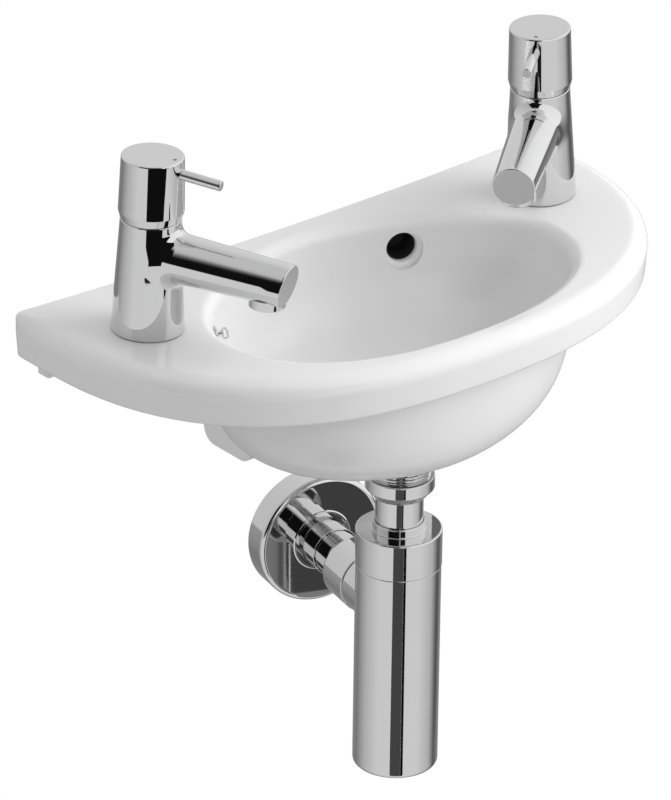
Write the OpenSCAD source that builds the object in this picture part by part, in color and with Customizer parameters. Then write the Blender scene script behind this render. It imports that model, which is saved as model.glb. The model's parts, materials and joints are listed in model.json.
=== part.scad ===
// Cloakroom basin with two pillar taps, slotted waste and bottle trap.
// Frame: X along the wall, +Y into the wall, Z up, in millimetres.
// The origin lies on the wall plane, midway between the two wall-fixing holes.

/* [Basin] */
// Width of the basin along the wall
basin_w = 450; // [420:5:500]
// Reach of the basin from the wall to its front edge
basin_d = 216; // [206:2:240]
// Straight stretch of each end, measured from the wall
end_flat = 29; // [22:1:36]
// Exponent of the front curve: 2 is an ellipse, more is squarer
front_curve = 2.52; // [2.3:0.02:2.8]
// Radius of the two back corners in plan
back_corner_r = 8; // [5:1:12]
// Height of the rim's outer face
rim_h = 31; // [28:1:38]
// Radius of the rim's top outer edge
rim_edge_r = 12; // [8:1:13]
// Radius of the top edge along the wall
wall_edge_r = 4; // [2:0.5:6]
// Width of the rim's downward lip
skirt_t = 10; // [8:1:12]
// Thickness of the deck that carries the taps
deck_t = 11; // [9:0.5:13]
// Rise of the deck from its middle to each end
deck_rise = 5.1; // [0:0.1:8]

/* [Bowl] */
// Length of the bowl's opening along the wall
bowl_w = 268; // [250:2:272]
// Distance from the wall to the opening's widest place
bowl_y = 110; // [104:1:114]
// Width of the rim in front of the opening
rim_front = 23; // [22:1:30]
// Width of the ledge behind the opening
rim_back = 22; // [20:1:28]
// Exponent of the opening's front half
bowl_front_curve = 2.38; // [2.1:0.02:2.6]
// Exponent of the opening's back half
bowl_back_curve = 1.75; // [1.7:0.05:2.2]
// Radius of the lip where the deck turns down into the bowl
lip_r = 9; // [5:1:9]
// Depth of the bowl from the deck to the waste's seat
bowl_depth = 82; // [80:0.5:84]
// Roundness of the bowl's section: 2 is an ellipse, more is fuller
bowl_section = 2.1; // [2:0.05:2.3]
// Roundness of the bowl's outer face, as seen from below
shell_section = 2.8; // [2.5:0.05:3.2]
// Thickness of the bowl's wall under the rim
wall_t = 6.5; // [6:0.5:8]
// Depth from the deck to the underside of the bowl
underside_depth = 107; // [106:0.5:112]
// Diameter of the flat foot round the waste, under the bowl
waste_boss_d = 80; // [76:1:90]

/* [Back of the basin] */
// Distance from the deck down to the wall-fixing holes
fix_drop = 32; // [30:1:36]
// Distance between the two wall-fixing holes
fix_spacing = 280; // [240:5:300]
// Diameter of a wall-fixing hole
fix_hole_d = 12; // [10:0.5:14]
// Width of the panel along the wall
panel_w = 408; // [390:2:420]
// Distance from the deck to the panel's lower edge
panel_drop = 46; // [44:1:56]
// Thickness of the panel
panel_t = 12; // [10:1:16]
// Reach of the block behind the bowl to the left of the middle
block_left = 65; // [60:1:72]
// Reach of the block behind the bowl to the right of the middle
block_right = 94; // [90:1:98]
// Reach of the block from the wall
block_d = 50; // [46:1:56]
// Distance from the deck to the block's lower face
block_drop = 138; // [130:1:142]
// Radius of the block's lower edges
block_r = 11; // [6:1:14]
// Diameter of the overflow hole
overflow_d = 20.5; // [16:0.5:24]
// Distance of the overflow hole to the right of the middle
overflow_x = 71; // [60:0.5:72]
// Distance from the deck down to the middle of the overflow hole
overflow_drop = 21.5; // [20:0.5:26]
// Diameter of the passage from the overflow hole to the waste
duct_d = 11; // [8:0.5:12]

/* [Taps] */
// Distance between the two tap holes
tap_spacing = 333.6; // [320:0.4:344]
// Distance of the tap holes from the wall
tap_y = 69; // [64:1:74]
// Diameter of a tap hole
tap_hole_d = 28; // [25:0.5:32]
// Angle of the left spout from the wall towards the front
left_turn = 64; // [20:1:80]
// Angle of the right spout from the wall towards the front
right_turn = 39; // [20:1:80]
// Diameter of the tap's foot
tap_foot_d = 48; // [46:0.5:52]
// Diameter of the tap's body under the handle
tap_neck_d = 39.8; // [38:0.2:40.4]
// Height of the seam between body and handle
tap_seam_h = 78.5; // [76:0.5:86]
// Overall height of the tap
tap_h = 121.8; // [116:0.2:130]
// Diameter of the handle's lower end
handle_d = 42.8; // [42:0.2:46]
// Diameter of the handle's top
handle_top_d = 40.9; // [38:0.1:42]
// Height of the spout's centre line where it leaves the tap's axis
spout_root_h = 55; // [52:0.5:58]
// Fall of the spout's centre line
spout_fall = 2; // [0:0.5:4]
// Diameter of the spout at the tap's axis
spout_root_d = 34; // [32:0.5:36]
// Diameter of the spout at its end
spout_end_d = 28.6; // [27:0.2:30]
// Reach of the spout's upper edge from the tap's axis
spout_reach = 100.5; // [98:0.5:110]
// Lean of the spout's end face
spout_cut = 24; // [15:1:30]
// Reach of the aerator from the tap's axis
aerator_reach = 83.5; // [80:0.5:86]
// Diameter of the aerator
aerator_d = 24.5; // [24:0.1:25]
// Diameter of the lever
lever_d = 7; // [6:0.1:8]
// Reach of the lever's end from the tap's axis
lever_reach = 49; // [44:0.5:60]
// Distance from the tap's top down to the lever, at the tap's axis
lever_drop = 7.8; // [7:0.2:11]
// Fall of the lever
lever_fall = 4; // [0:0.5:5]

/* [Waste] */
// Diameter of the waste hole in the bowl
waste_hole_d = 44; // [43:0.5:46]
// Outer diameter of the waste's tail
waste_d = 41.5; // [40:0.1:42]
// Diameter of the waste's flange
waste_flange_d = 62; // [58:0.5:64]
// Distance from the wall to the waste
waste_y = 126; // [124:1:130]
// Distance from the deck to the end of the waste's tail
waste_end = 137; // [136:0.5:138]

/* [Trap] */
// Turn of the trap on its inlet tube, from square to the wall
trap_turn = 11.3; // [0:0.1:20]
// Diameter of the inlet nut
inlet_nut_d = 46.5; // [46:0.1:50]
// Outer diameter of the inlet tube
inlet_tube_d = 32; // [30:0.1:32.4]
// Distance from the deck to the top of the trap's cap
cap_drop = 172.5; // [170:0.5:185]
// Diameter of the cap
cap_d = 58; // [57:0.1:62]
// Height of the cap
cap_h = 26.5; // [26:0.5:32]
// Diameter of the bottle
bottle_d = 57.3; // [56.6:0.1:58]
// Height of the bottle below the cap
bottle_h = 150; // [130:1:170]
// Distance from the cap's seam down to the outlet's centre line
outlet_drop = 34; // [30:0.5:40]
// Outer diameter of the outlet pipe
pipe_d = 32; // [30:0.1:33]
// Diameter of the outlet nut
outlet_nut_d = 44; // [43:0.1:46]
// Distance from the trap's axis to the outlet nut
outlet_nut_x = 39.5; // [38:0.5:44]
// Length of the outlet nut
outlet_nut_l = 26; // [22:0.5:28]
// Length of the outlet pipe beyond the wall flange
pipe_tail = 20; // [10:1:60]
// Diameter of the wall flange
flange_d = 92; // [84:1:100]
// Thickness of the wall flange
flange_t = 20; // [16:0.5:24]
// Length of the flange's sleeve along the pipe
sleeve_l = 20; // [12:1:24]

/* [Fits] */
// Gap between pieces that turn or slide on each other
run_gap = 0.3; // [0.25:0.05:0.4]
// Gap round a spindle in its bearing
shaft_gap = 0.05; // [0.03:0.01:0.08]
// Gap between a fixed piece and the hole it stands in
fixed_gap = 0.2; // [0.1:0.05:0.3]
// Thickness of the flat seals
seal_t = 2; // [1.5:0.1:2.5]

/* [Hidden] */
$fn = 64;

// Colours as the photograph shows them
glaze = "whitesmoke";
chrome = "silver";
brass = "darkkhaki";
rubber = "dimgray";
plastic = "lightgray";
steel = "lightslategray";

// A small overlap that lets a cut pass clean through a face
eps = 0.05;

// Heights of the main levels
deck_z = fix_drop;
floor_z = deck_z - bowl_depth;
under_z = deck_z - underside_depth;

// Stations along the rim: steps of the front curve, each end, each corner and the back
front_steps = 44;
end_steps = 2;
corner_steps = 3;
back_steps = 20;
half_w = basin_w/2;
front_b = basin_d - end_flat;

function signed_power(v, p) = sign(v)*pow(abs(v), p);
function mix(a, b, t) = a + (b - a)*t;
function unit(v) = v/norm(v);

// The rim's outline in plan, counter-clockwise from the left end
outline = concat(
    [for (i = [0:front_steps]) let (t = 180 + 180*i/front_steps)
        [half_w*signed_power(cos(t), 2/front_curve),
         -end_flat + front_b*signed_power(sin(t), 2/front_curve)]],
    [for (i = [1:end_steps - 1]) [half_w, mix(-end_flat, -back_corner_r, i/end_steps)]],
    [for (i = [0:corner_steps]) let (t = 90*i/corner_steps)
        [half_w - back_corner_r*(1 - cos(t)), -back_corner_r*(1 - sin(t))]],
    [for (i = [1:back_steps - 1])
        [mix(half_w - back_corner_r, back_corner_r - half_w, i/back_steps), 0]],
    [for (i = [0:corner_steps]) let (t = 90 + 90*i/corner_steps)
        [-half_w + back_corner_r*(1 + cos(t)), -back_corner_r*(1 - sin(t))]],
    [for (i = [1:end_steps - 1]) [-half_w, mix(-back_corner_r, -end_flat, i/end_steps)]]);
stations = len(outline);

// Outward direction of the rim at each station
rim_normal = [for (i = [0:stations - 1])
    let (a = outline[(i + stations - 1)%stations], b = outline[(i + 1)%stations],
         d = unit(b - a)) [d[1], -d[0]]];

// Polar directions from the bowl's centre to each station
bowl_centre = [0, -bowl_y];
polar = [for (p = outline) unit(p - bowl_centre)];

// Radius of an oval with its own front and back reach, in direction u
function oval(u, side, front, back, front_n, back_n) =
    let (n = u[1] < 0 ? front_n : back_n, b = u[1] < 0 ? front : back)
    pow(pow(abs(u[0])/side, n) + pow(abs(u[1])/b, n), -1/n);

// Opening of the bowl and the bowl's outer face, both measured at the rim
open_side = bowl_w/2;
open_front = basin_d - rim_front - bowl_y;
open_back = bowl_y - rim_back;
opening = [for (u = polar)
    oval(u, open_side, open_front, open_back, bowl_front_curve, bowl_back_curve)];

// Section of the bowl's wall: the share of its full reach that is left at share w of its depth
function section(w, n) = pow(max(0, 1 - pow(w, n)), 1/n);
// Flat ring round the waste, inside and underneath
seat_r = waste_flange_d/2 + 4;
boss_r = waste_boss_d/2;
waste_shift = waste_y - bowl_y;
shell_top = rim_h + 1;
reach_share = section((shell_top - lip_r)/(bowl_depth - lip_r), bowl_section);
// Reach of the outer face under the rim: the bowl's own reach there and its wall
function outer_reach(reach, shift) = mix(seat_r, reach, reach_share) + shift*(1 - reach_share) + wall_t;
outer_front_curve = 2.2;
function shell_reach(u) =
    oval(u, outer_reach(open_side, 0), outer_reach(open_front, waste_shift),
        outer_reach(open_back, -waste_shift), outer_front_curve, bowl_back_curve);
shell = [for (u = polar) shell_reach(u)];

// Rise of the deck at x above its middle
function dish(x) = deck_rise*pow(x/half_w, 2);
// Edge radius at a station: it tightens along the straight ends towards the wall
function edge_r(i) =
    let (t = max(0, 1 + outline[i][1]/end_flat)) mix(rim_edge_r, wall_edge_r, t*t*(3 - 2*t));
// An inset that stays clear of the centre of a back corner
corner_clear = 0.5;
function in_corner(p) = p[1] > -back_corner_r - eps && abs(p[0]) > half_w - back_corner_r - eps;
function held_inset(i, inset) = in_corner(outline[i]) ? min(inset, back_corner_r - corner_clear) : inset;
// A point of the rim, moved inwards by inset, at depth below the deck
function rim_point(i, inset, depth) =
    let (p = outline[i] - held_inset(i, inset)*rim_normal[i]) [p[0], p[1], deck_z + dish(p[0]) - depth];
// A point at radius r from the bowl's centre
function bowl_point(i, r, depth) =
    let (p = bowl_centre + r*polar[i]) [p[0], p[1], deck_z + dish(p[0]) - depth];
// A point of the bowl's wall at share w of its depth, drawn in towards the waste
function wall_point(i, top_r, foot_r, top, foot, w, n) =
    let (h = section(w, n), r = mix(foot_r, top_r, h), y = mix(-waste_y, -bowl_y, h),
         x = r*polar[i][0])
    [x, y + r*polar[i][1], deck_z + dish(x)*h - mix(top, foot, w)];

// Depth of the hollow under the deck: it closes where the bowl comes near the rim
hollow_gap = 9;
hollow_ramp = 30;
function hollow(i) =
    let (gap = norm(outline[i] - skirt_t*rim_normal[i] - bowl_centre) - shell[i])
    max(0, min(1, (gap - hollow_gap)/hollow_ramp));
function hollow_depth(i) = mix(rim_h, deck_t, hollow(i)) + crease;

edge_angles = [90, 68, 45, 22, 0];
lip_angles = [0, 22, 45, 68];
bowl_steps = 10;
shell_steps = 9;
draft = 1.2;
foot_r = 2.5;
// Least step between two rings that meet in a crease
crease = 0.2;
// Widening of the wall's root under the deck and of the skirt's root
root_t = 4;
skirt_root_t = 2;

// Rings of the shell, from the bowl's floor over the rim and down the underside
rings = concat(
    [for (k = [0:bowl_steps]) let (w = sin(90*(1 - k/bowl_steps)))
        [for (i = [0:stations - 1])
            wall_point(i, opening[i], seat_r, lip_r, bowl_depth, w, bowl_section)]],
    [for (a = [68, 45, 22, 0])
        [for (i = [0:stations - 1])
            bowl_point(i, opening[i] + lip_r*(1 - sin(a)), lip_r*(1 - cos(a)))]],
    [for (t = [1/3, 2/3])
        [for (i = [0:stations - 1])
            let (a = bowl_point(i, opening[i] + lip_r, 0), b = rim_point(i, edge_r(i), 0),
                 p = mix(a, b, t)) [p[0], p[1], deck_z + dish(p[0])]]],
    [for (a = edge_angles)
        [for (i = [0:stations - 1])
            rim_point(i, edge_r(i)*(1 - cos(a)), edge_r(i)*(1 - sin(a)))]],
    [[for (i = [0:stations - 1]) rim_point(i, draft, rim_h - foot_r)],
     [for (i = [0:stations - 1]) rim_point(i, draft + foot_r*0.3, rim_h - foot_r*0.3)],
     [for (i = [0:stations - 1]) rim_point(i, draft + foot_r, rim_h)],
     [for (i = [0:stations - 1]) rim_point(i, skirt_t, rim_h)],
     [for (i = [0:stations - 1]) rim_point(i, skirt_t + skirt_root_t*hollow(i), hollow_depth(i))],
     [for (i = [0:stations - 1]) bowl_point(i, shell[i] + mix(1, root_t, hollow(i)), hollow_depth(i))]],
    [for (k = [0:shell_steps]) let (w = sin(90*k/shell_steps))
        [for (i = [0:stations - 1])
            wall_point(i, shell[i], boss_r, shell_top, underside_depth, w, shell_section)]]);

module ring_solid(rings) {
    n = len(rings[0]);
    m = len(rings);
    polyhedron(
        points = [for (r = rings) for (p = r) p],
        faces = concat(
            [[for (i = [n - 1:-1:0]) i]],
            [for (k = [0:m - 2]) for (i = [0:n - 1])
                [k*n + i, k*n + (i + 1)%n, (k + 1)*n + (i + 1)%n]],
            [for (k = [0:m - 2]) for (i = [0:n - 1])
                [k*n + i, (k + 1)*n + (i + 1)%n, (k + 1)*n + i]],
            [[for (i = [0:n - 1]) (m - 1)*n + i]]));
}

// The tap's own frame: foot on the deck, axis square to the deck's slope
tap_x = tap_spacing/2;
tap_z = deck_z + dish(tap_x);
tap_lean = atan(2*deck_rise*tap_x/pow(half_w, 2));
tap_sink = 0.3;
module at_tap(side) {
    translate([side*tap_x, -tap_y, tap_z - tap_sink]) rotate([0, -side*tap_lean, 0]) children();
}
// The tap's frame turned so that +X points along the spout
module along_spout(side) {
    turn = side < 0 ? -left_turn : 180 + right_turn;
    at_tap(side) rotate([0, 0, turn]) children();
}

// Overflow passage: a riser in the block, a run behind the bowl and a run to the waste
recess_h = 6;
recess_d = 64;
duct_z = deck_z - bowl_depth - (underside_depth - bowl_depth - recess_h)/2;
riser_y = -26;
riser_d = duct_d + 4;
overflow_l = 42;
duct_knee = [8, -36];
overflow_turn = 22;
// Y of the bowl's back wall just under its lip, at x
function back_wall_y(x) =
    -bowl_y + open_back*pow(1 - pow(abs(x)/open_side, bowl_back_curve), 1/bowl_back_curve);
overflow_y = back_wall_y(overflow_x);
riser_x = overflow_x + (riser_y - overflow_y)*tan(overflow_turn);
module tube_between(a, b, d) {
    v = b - a;
    translate(a) rotate([0, acos(v[2]/norm(v)), atan2(v[1], v[0])]) cylinder(h = norm(v), d = d);
}
module overflow_passage() {
    low = [riser_x, riser_y, duct_z];
    knee = [duct_knee[0], duct_knee[1], duct_z];
    waste = [0, -waste_y, duct_z];
    over = duct_d/3;
    translate([riser_x, riser_y, deck_z - overflow_drop]) rotate([90, 0, -overflow_turn])
        translate([0, 0, -riser_d/2 - 1]) cylinder(h = overflow_l, d = overflow_d);
    translate(low + [0, 0, -riser_d/2])
        cylinder(h = deck_z - overflow_drop - duct_z + riser_d, d = riser_d);
    tube_between(low, knee + over*unit(knee - low), duct_d);
    tube_between(waste, knee + over*unit(knee - waste), duct_d - 1);
}

// Chain stay on the bowl's back left wall, square to the wall there
stay_x = -112;
stay_drop = 19;
stay_turn = 136;
stay_tilt = 9.5;
stay_hole_d = 6.5;
// Reach of the stay's cuts into the bowl and out behind its wall
stay_clear = 8;
stay_clear_back = 16;
// The wall's inner and outer face at the stay's depth, in the direction of the stay
stay_top = [stay_x, back_wall_y(stay_x)];
stay_u = unit(stay_top - bowl_centre);
stay_share = section((stay_drop - lip_r)/(bowl_depth - lip_r), bowl_section);
stay_inner = mix(seat_r, norm(stay_top - bowl_centre), stay_share);
stay_outer = shell_reach(stay_u) + root_t*(shell_top - stay_drop)/(shell_top - deck_t);
stay_place = bowl_centre + stay_inner*stay_u - [0, waste_shift*(1 - stay_share)];
module at_stay() {
    translate([stay_place[0], stay_place[1], deck_z - stay_drop])
        rotate([0, 90 + stay_tilt, stay_turn]) children();
}

// Side outline of the block: its front follows the middle of the bowl's back wall
block_top = deck_z - deck_t - 2;
block_low = deck_z - block_drop;
wall_steps = 10;
function wall_middle(w) =
    let (h = section(w, bowl_section))
    [mix(-waste_y, -bowl_y, h) + mix(seat_r, open_back + wall_t/2, h),
     deck_z - mix(lip_r, bowl_depth + wall_t, w)];
block_outline = concat(
    [[0, block_top], [0, block_low + block_r]],
    [for (a = [22.5:22.5:90]) [-block_r*(1 - cos(a)), block_low + block_r*(1 - sin(a))]],
    [for (a = [67.5:-22.5:0]) [-block_d + block_r*(1 - cos(a)), block_low + block_r*(1 - sin(a))]],
    [for (k = [wall_steps:-1:1]) let (p = wall_middle(k/wall_steps))
        if (p[0] > -block_d && p[1] < block_top - 1) p],
    [[wall_middle(0.5/wall_steps)[0], block_top]]);
// The riser's housing starts this far behind the bowl's face and beside the riser
housing_cover = 3.5;
housing_side = 6;
module block() {
    translate([-block_left, 0, 0]) rotate([90, 0, 90])
        linear_extrude(height = block_left + block_right) polygon(block_outline);
    // Housing of the overflow's riser, behind the bowl's wall
    in_x = riser_x - riser_d/2 - housing_side;
    in_y = back_wall_y(in_x) + housing_cover;
    out_y = back_wall_y(block_right) + housing_cover + 1;
    translate([0, 0, duct_z - riser_d]) linear_extrude(height = block_top + 3 - duct_z + riser_d)
        polygon([[in_x, -1], [in_x, in_y], [block_right, out_y], [block_right, -1]]);
}

// Depth of the flat seats on the deck, and of the room for the nut below it
deck_seat_t = 0.5;
nut_room = 12;
module basin() {
    panel_low = deck_z - panel_drop;
    panel_high = deck_z - deck_t/2;
    color(glaze) difference() {
        union() {
            ring_solid(rings);
            translate([-panel_w/2, -panel_t, panel_low])
                cube([panel_w, panel_t, panel_high - panel_low]);
            block();
        }
        // Wall-fixing holes
        for (s = [-1, 1]) translate([s*fix_spacing/2, eps, 0])
            rotate([90, 0, 0]) cylinder(h = panel_t + 2*eps, d = fix_hole_d);
        // Tap holes with a flat seat above and below the deck
        for (s = [-1, 1]) at_tap(s) {
            translate([0, 0, -deck_t - nut_room]) cylinder(h = deck_t + nut_room + 2, d = tap_hole_d);
            cylinder(h = 2, d = tap_foot_d - 1);
            translate([0, 0, -deck_t - nut_room])
                cylinder(h = nut_room + deck_seat_t, d = tail_nut_d + 4);
        }
        // Waste hole, the flange's seat and the recess for the backnut
        translate([0, -waste_y, under_z - eps]) {
            cylinder(h = underside_depth, d = waste_hole_d);
            cylinder(h = recess_h + eps, d = recess_d);
        }
        translate([0, -waste_y, floor_z - seat_sink]) cylinder(h = 10, d = waste_flange_d + 1);
        // Hole for the chain stay, with a flat seat on each face of the wall
        at_stay() {
            translate([0, 0, -stay_clear]) cylinder(h = stay_clear + stay_clear_back, d = stay_hole_d);
            translate([0, 0, -stay_clear]) cylinder(h = stay_clear - stay_seat, d = stay_flange_d + 1);
            translate([0, 0, stay_back]) cylinder(h = stay_clear_back - stay_back, d = stay_washer_d + 2);
        }
        overflow_passage();
    }
}

// Chain stay: flange, stem and an upright eye, on a threaded tail
stay_flange_d = 10;
stay_tail_l = 14;
stay_tail_d = 6;
stay_stem_d = 3.6;
// The flange's seat lies this far inside the wall's face, and the washer's this far below the back
stay_seat = 0;
stay_back_sink = 0.5;
stay_back = (stay_outer - stay_inner)*(stay_u*[cos(stay_turn), sin(stay_turn)]) - stay_back_sink;
stay_eye_x = 6.8;
// The eye is an upright oval with an oval hole
eye_h = 8.4;
eye_r = 2.3;
eye_t = 2;
eye_wall = 1.2;
module upright_oval(r, h, t) {
    translate([-h/2 + r, 0, 0]) cylinder(h = t, r = r, center = true);
    translate([h/2 - r, 0, 0]) cylinder(h = t, r = r, center = true);
    cube([h - 2*r, 2*r, t], center = true);
}
module chain_stay() {
    color(chrome) at_stay() rotate([180, 0, 0]) difference() {
        union() {
            translate([0, 0, stay_seat]) cylinder(h = 1, d = stay_flange_d);
            translate([0, 0, stay_seat + 1]) cylinder(h = 1.4, d1 = stay_flange_d - 2, d2 = stay_tail_d - 1);
            cylinder(h = stay_eye_x, d = stay_stem_d);
            translate([0, 0, stay_eye_x]) rotate([90, 0, 0]) upright_oval(eye_r, eye_h, eye_t);
            translate([0, 0, -stay_tail_l]) cylinder(h = stay_tail_l + stay_seat + 0.5, d = stay_tail_d);
        }
        translate([0, 0, stay_eye_x]) rotate([90, 0, 0])
            upright_oval(eye_r - eye_wall, eye_h - 2*eye_wall, 2*eye_t);
    }
}
stay_washer_d = 13;
stay_washer_t = 1.5;
stay_nut_d = 11;
stay_nut_h = 3.5;
module chain_stay_washer() {
    color(rubber) at_stay() translate([0, 0, stay_back])
        flat_ring(stay_washer_d, stay_tail_d + 2*fixed_gap, stay_washer_t);
}
module chain_stay_nut() {
    color(chrome) at_stay() translate([0, 0, stay_back + stay_washer_t])
        hexagon_nut(stay_nut_d, stay_tail_d + 2*fixed_gap, stay_nut_h);
}

// Waste: flange in the bowl, slotted tail, grid
seat_sink = 3;
waste_bore_d = 34;
// The flange stands this far above the floor, over its dished grid
flange_rise = 0.5;
grid_t = 1.5;
dish_t = 2.5;
dish_low_d = 36;
dish_top_d = 50;
grid_hole_d = 8;
grid_middle_d = 7;
grid_r = 11;
slot_w = 14;
slot_h = 9;
module waste_body() {
    flange_top = floor_z + flange_rise;
    flange_z = floor_z - seat_sink + seal_t;
    tail_z = deck_z - waste_end;
    color(chrome) translate([0, -waste_y, 0]) difference() {
        union() {
            translate([0, 0, tail_z]) cylinder(h = flange_z - tail_z, d = waste_d);
            translate([0, 0, flange_z])
                cylinder(h = flange_top - flange_z, d1 = waste_flange_d - 3, d2 = waste_flange_d);
        }
        translate([0, 0, tail_z - eps])
            cylinder(h = flange_top - dish_t - grid_t - tail_z, d = waste_bore_d);
        translate([0, 0, flange_top - dish_t]) cylinder(h = dish_t + 0.5, d1 = dish_low_d, d2 = dish_top_d);
        // Grid of one middle hole and six round it
        translate([0, 0, flange_top - 2*dish_t]) {
            cylinder(h = 2*dish_t, d = grid_middle_d);
            for (k = [0:5]) rotate(60*k) translate([grid_r, 0, 0]) cylinder(h = 2*dish_t, d = grid_hole_d);
        }
        // Slots that take the overflow
        for (k = [0:1]) rotate(90*k + 45) translate([0, 0, duct_z])
            cube([waste_d + 2, slot_w, slot_h], center = true);
    }
}
module flat_ring(d_out, d_in, h) {
    difference() {
        cylinder(h = h, d = d_out);
        translate([0, 0, -eps]) cylinder(h = h + 2*eps, d = d_in);
    }
}
module hexagon_nut(d_out, d_in, h) {
    difference() {
        cylinder(h = h, d = d_out, $fn = 6);
        translate([0, 0, -eps]) cylinder(h = h + 2*eps, d = d_in);
    }
}
module waste_top_seal() {
    color(rubber) translate([0, -waste_y, floor_z - seat_sink])
        flat_ring(waste_flange_d - 5, waste_d + 2*fixed_gap, seal_t);
}
backnut_h = 6;
backnut_d = 54;
lower_seal_d = 56;
nut_flange_t = 2;
module waste_lower_seal() {
    color(rubber) translate([0, -waste_y, under_z + recess_h - seal_t])
        flat_ring(lower_seal_d, waste_d + 2*fixed_gap, seal_t);
}
module waste_backnut() {
    z = under_z + recess_h - seal_t - backnut_h;
    color(brass) translate([0, -waste_y, z]) difference() {
        union() {
            cylinder(h = backnut_h, d = backnut_d, $fn = 6);
            translate([0, 0, backnut_h - nut_flange_t]) cylinder(h = nut_flange_t, d = lower_seal_d);
        }
        translate([0, 0, -eps]) cylinder(h = backnut_h + 2*eps, d = waste_d + 2*fixed_gap);
    }
}

// Trap inlet: nut, seal and tube
nut_grip = 4.6;
nut_cone_h = 6.4;
inlet_nut_top = deck_z - waste_end + nut_grip;
tube_flange_d = 39.5;
tube_flange_t = 2;
tube_flange_z = deck_z - waste_end - seal_t - tube_flange_t;
inlet_nut_low = tube_flange_z - nut_cone_h - fixed_gap;
nut_edge = 0.5;
nut_lip_w = 1.5;
module inlet_nut() {
    color(chrome) translate([0, -waste_y, 0]) rotate_extrude() polygon([
        [inlet_tube_d/2 + fixed_gap, inlet_nut_low],
        [inlet_tube_d/2 + nut_lip_w, inlet_nut_low],
        [inlet_nut_d/2, inlet_nut_low + nut_cone_h],
        [inlet_nut_d/2, inlet_nut_top - nut_edge],
        [inlet_nut_d/2 - nut_edge, inlet_nut_top],
        [waste_d/2 + fixed_gap, inlet_nut_top],
        [waste_d/2 + fixed_gap, tube_flange_z - fixed_gap],
        [inlet_tube_d/2 + fixed_gap, tube_flange_z - fixed_gap]]);
}
module inlet_seal() {
    color(rubber) translate([0, -waste_y, deck_z - waste_end - seal_t])
        flat_ring(tube_flange_d, waste_bore_d - 4, seal_t);
}
tube_wall = 1.5;
// Height of the tube's open end over the bottle's foot
dip_rise = 38;
dip_end_z = deck_z - cap_drop - cap_h - bottle_h + dip_rise;
module inlet_tube() {
    color(chrome) translate([0, -waste_y, 0]) difference() {
        union() {
            translate([0, 0, dip_end_z])
                cylinder(h = tube_flange_z - dip_end_z + eps, d = inlet_tube_d);
            translate([0, 0, tube_flange_z]) cylinder(h = tube_flange_t, d = tube_flange_d);
        }
        translate([0, 0, dip_end_z - eps])
            cylinder(h = tube_flange_z + tube_flange_t - dip_end_z + 2*eps,
                d = inlet_tube_d - 2*tube_wall);
    }
}

// Trap: its own frame at the seam between cap and bottle, +X along the outlet
seam_z = deck_z - cap_drop - cap_h;
module at_trap() {
    translate([0, -waste_y, seam_z]) rotate([0, 0, 90 - trap_turn]) children();
}
cap_wall = 2.6;
collar_d = 35.6;
collar_h = 6;
neck_d = cap_d - 2*cap_wall - 2*run_gap;
neck_h = 18;
cap_seal_t = 3;
cap_edge = 1;
cap_low_edge = 0.4;
collar_edge = 0.6;
module trap_cap() {
    bore = inlet_tube_d/2 + run_gap;
    color(chrome) at_trap() rotate_extrude() polygon([
        [bore, neck_h + cap_seal_t + 2*run_gap],
        [cap_d/2 - cap_wall, neck_h + cap_seal_t + 2*run_gap],
        [cap_d/2 - cap_wall, run_gap],
        [cap_d/2 - cap_low_edge, run_gap],
        [cap_d/2, run_gap + cap_low_edge],
        [cap_d/2, cap_h - cap_edge],
        [cap_d/2 - cap_edge, cap_h],
        [collar_d/2, cap_h],
        [collar_d/2, cap_h + collar_h - collar_edge],
        [collar_d/2 - collar_edge, cap_h + collar_h],
        [bore, cap_h + collar_h]]);
}
module cap_seal() {
    color(rubber) at_trap() translate([0, 0, neck_h + run_gap])
        flat_ring(neck_d - 1, inlet_tube_d + 2*run_gap, cap_seal_t);
}
bottle_wall = 2;
bottle_floor = 3;
shoulder_t = 3;
neck_wall = 3;
bottle_foot_r = 3;
boss_d = 42.5;
socket_d = 38.5;
socket_l = 12;
boss_end = outlet_nut_x + socket_l;
module bottle() {
    inner = bottle_d/2 - bottle_wall;
    color(chrome) at_trap() difference() {
        union() {
            rotate_extrude() {
                translate([0, -bottle_h]) square([bottle_d/2 - bottle_foot_r, bottle_h]);
                translate([0, -bottle_h + bottle_foot_r]) square([bottle_d/2, bottle_h - bottle_foot_r]);
                translate([bottle_d/2 - bottle_foot_r, -bottle_h + bottle_foot_r])
                    circle(r = bottle_foot_r);
                translate([0, -eps]) square([neck_d/2, neck_h + eps]);
            }
            translate([0, 0, -outlet_drop]) rotate([0, 90, 0])
                cylinder(h = outlet_nut_x - fixed_gap, d = boss_d);
            translate([0, 0, -outlet_drop]) rotate([0, 90, 0]) cylinder(h = boss_end, d = socket_d);
        }
        translate([0, 0, -bottle_h + bottle_floor])
            cylinder(h = bottle_h - bottle_floor - shoulder_t, r = inner);
        translate([0, 0, -shoulder_t - eps])
            cylinder(h = neck_h + shoulder_t + 1, r = neck_d/2 - neck_wall);
        translate([0, 0, -outlet_drop]) rotate([0, 90, 0])
            cylinder(h = boss_end + eps, d = pipe_d + 2*fixed_gap);
    }
}
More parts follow.
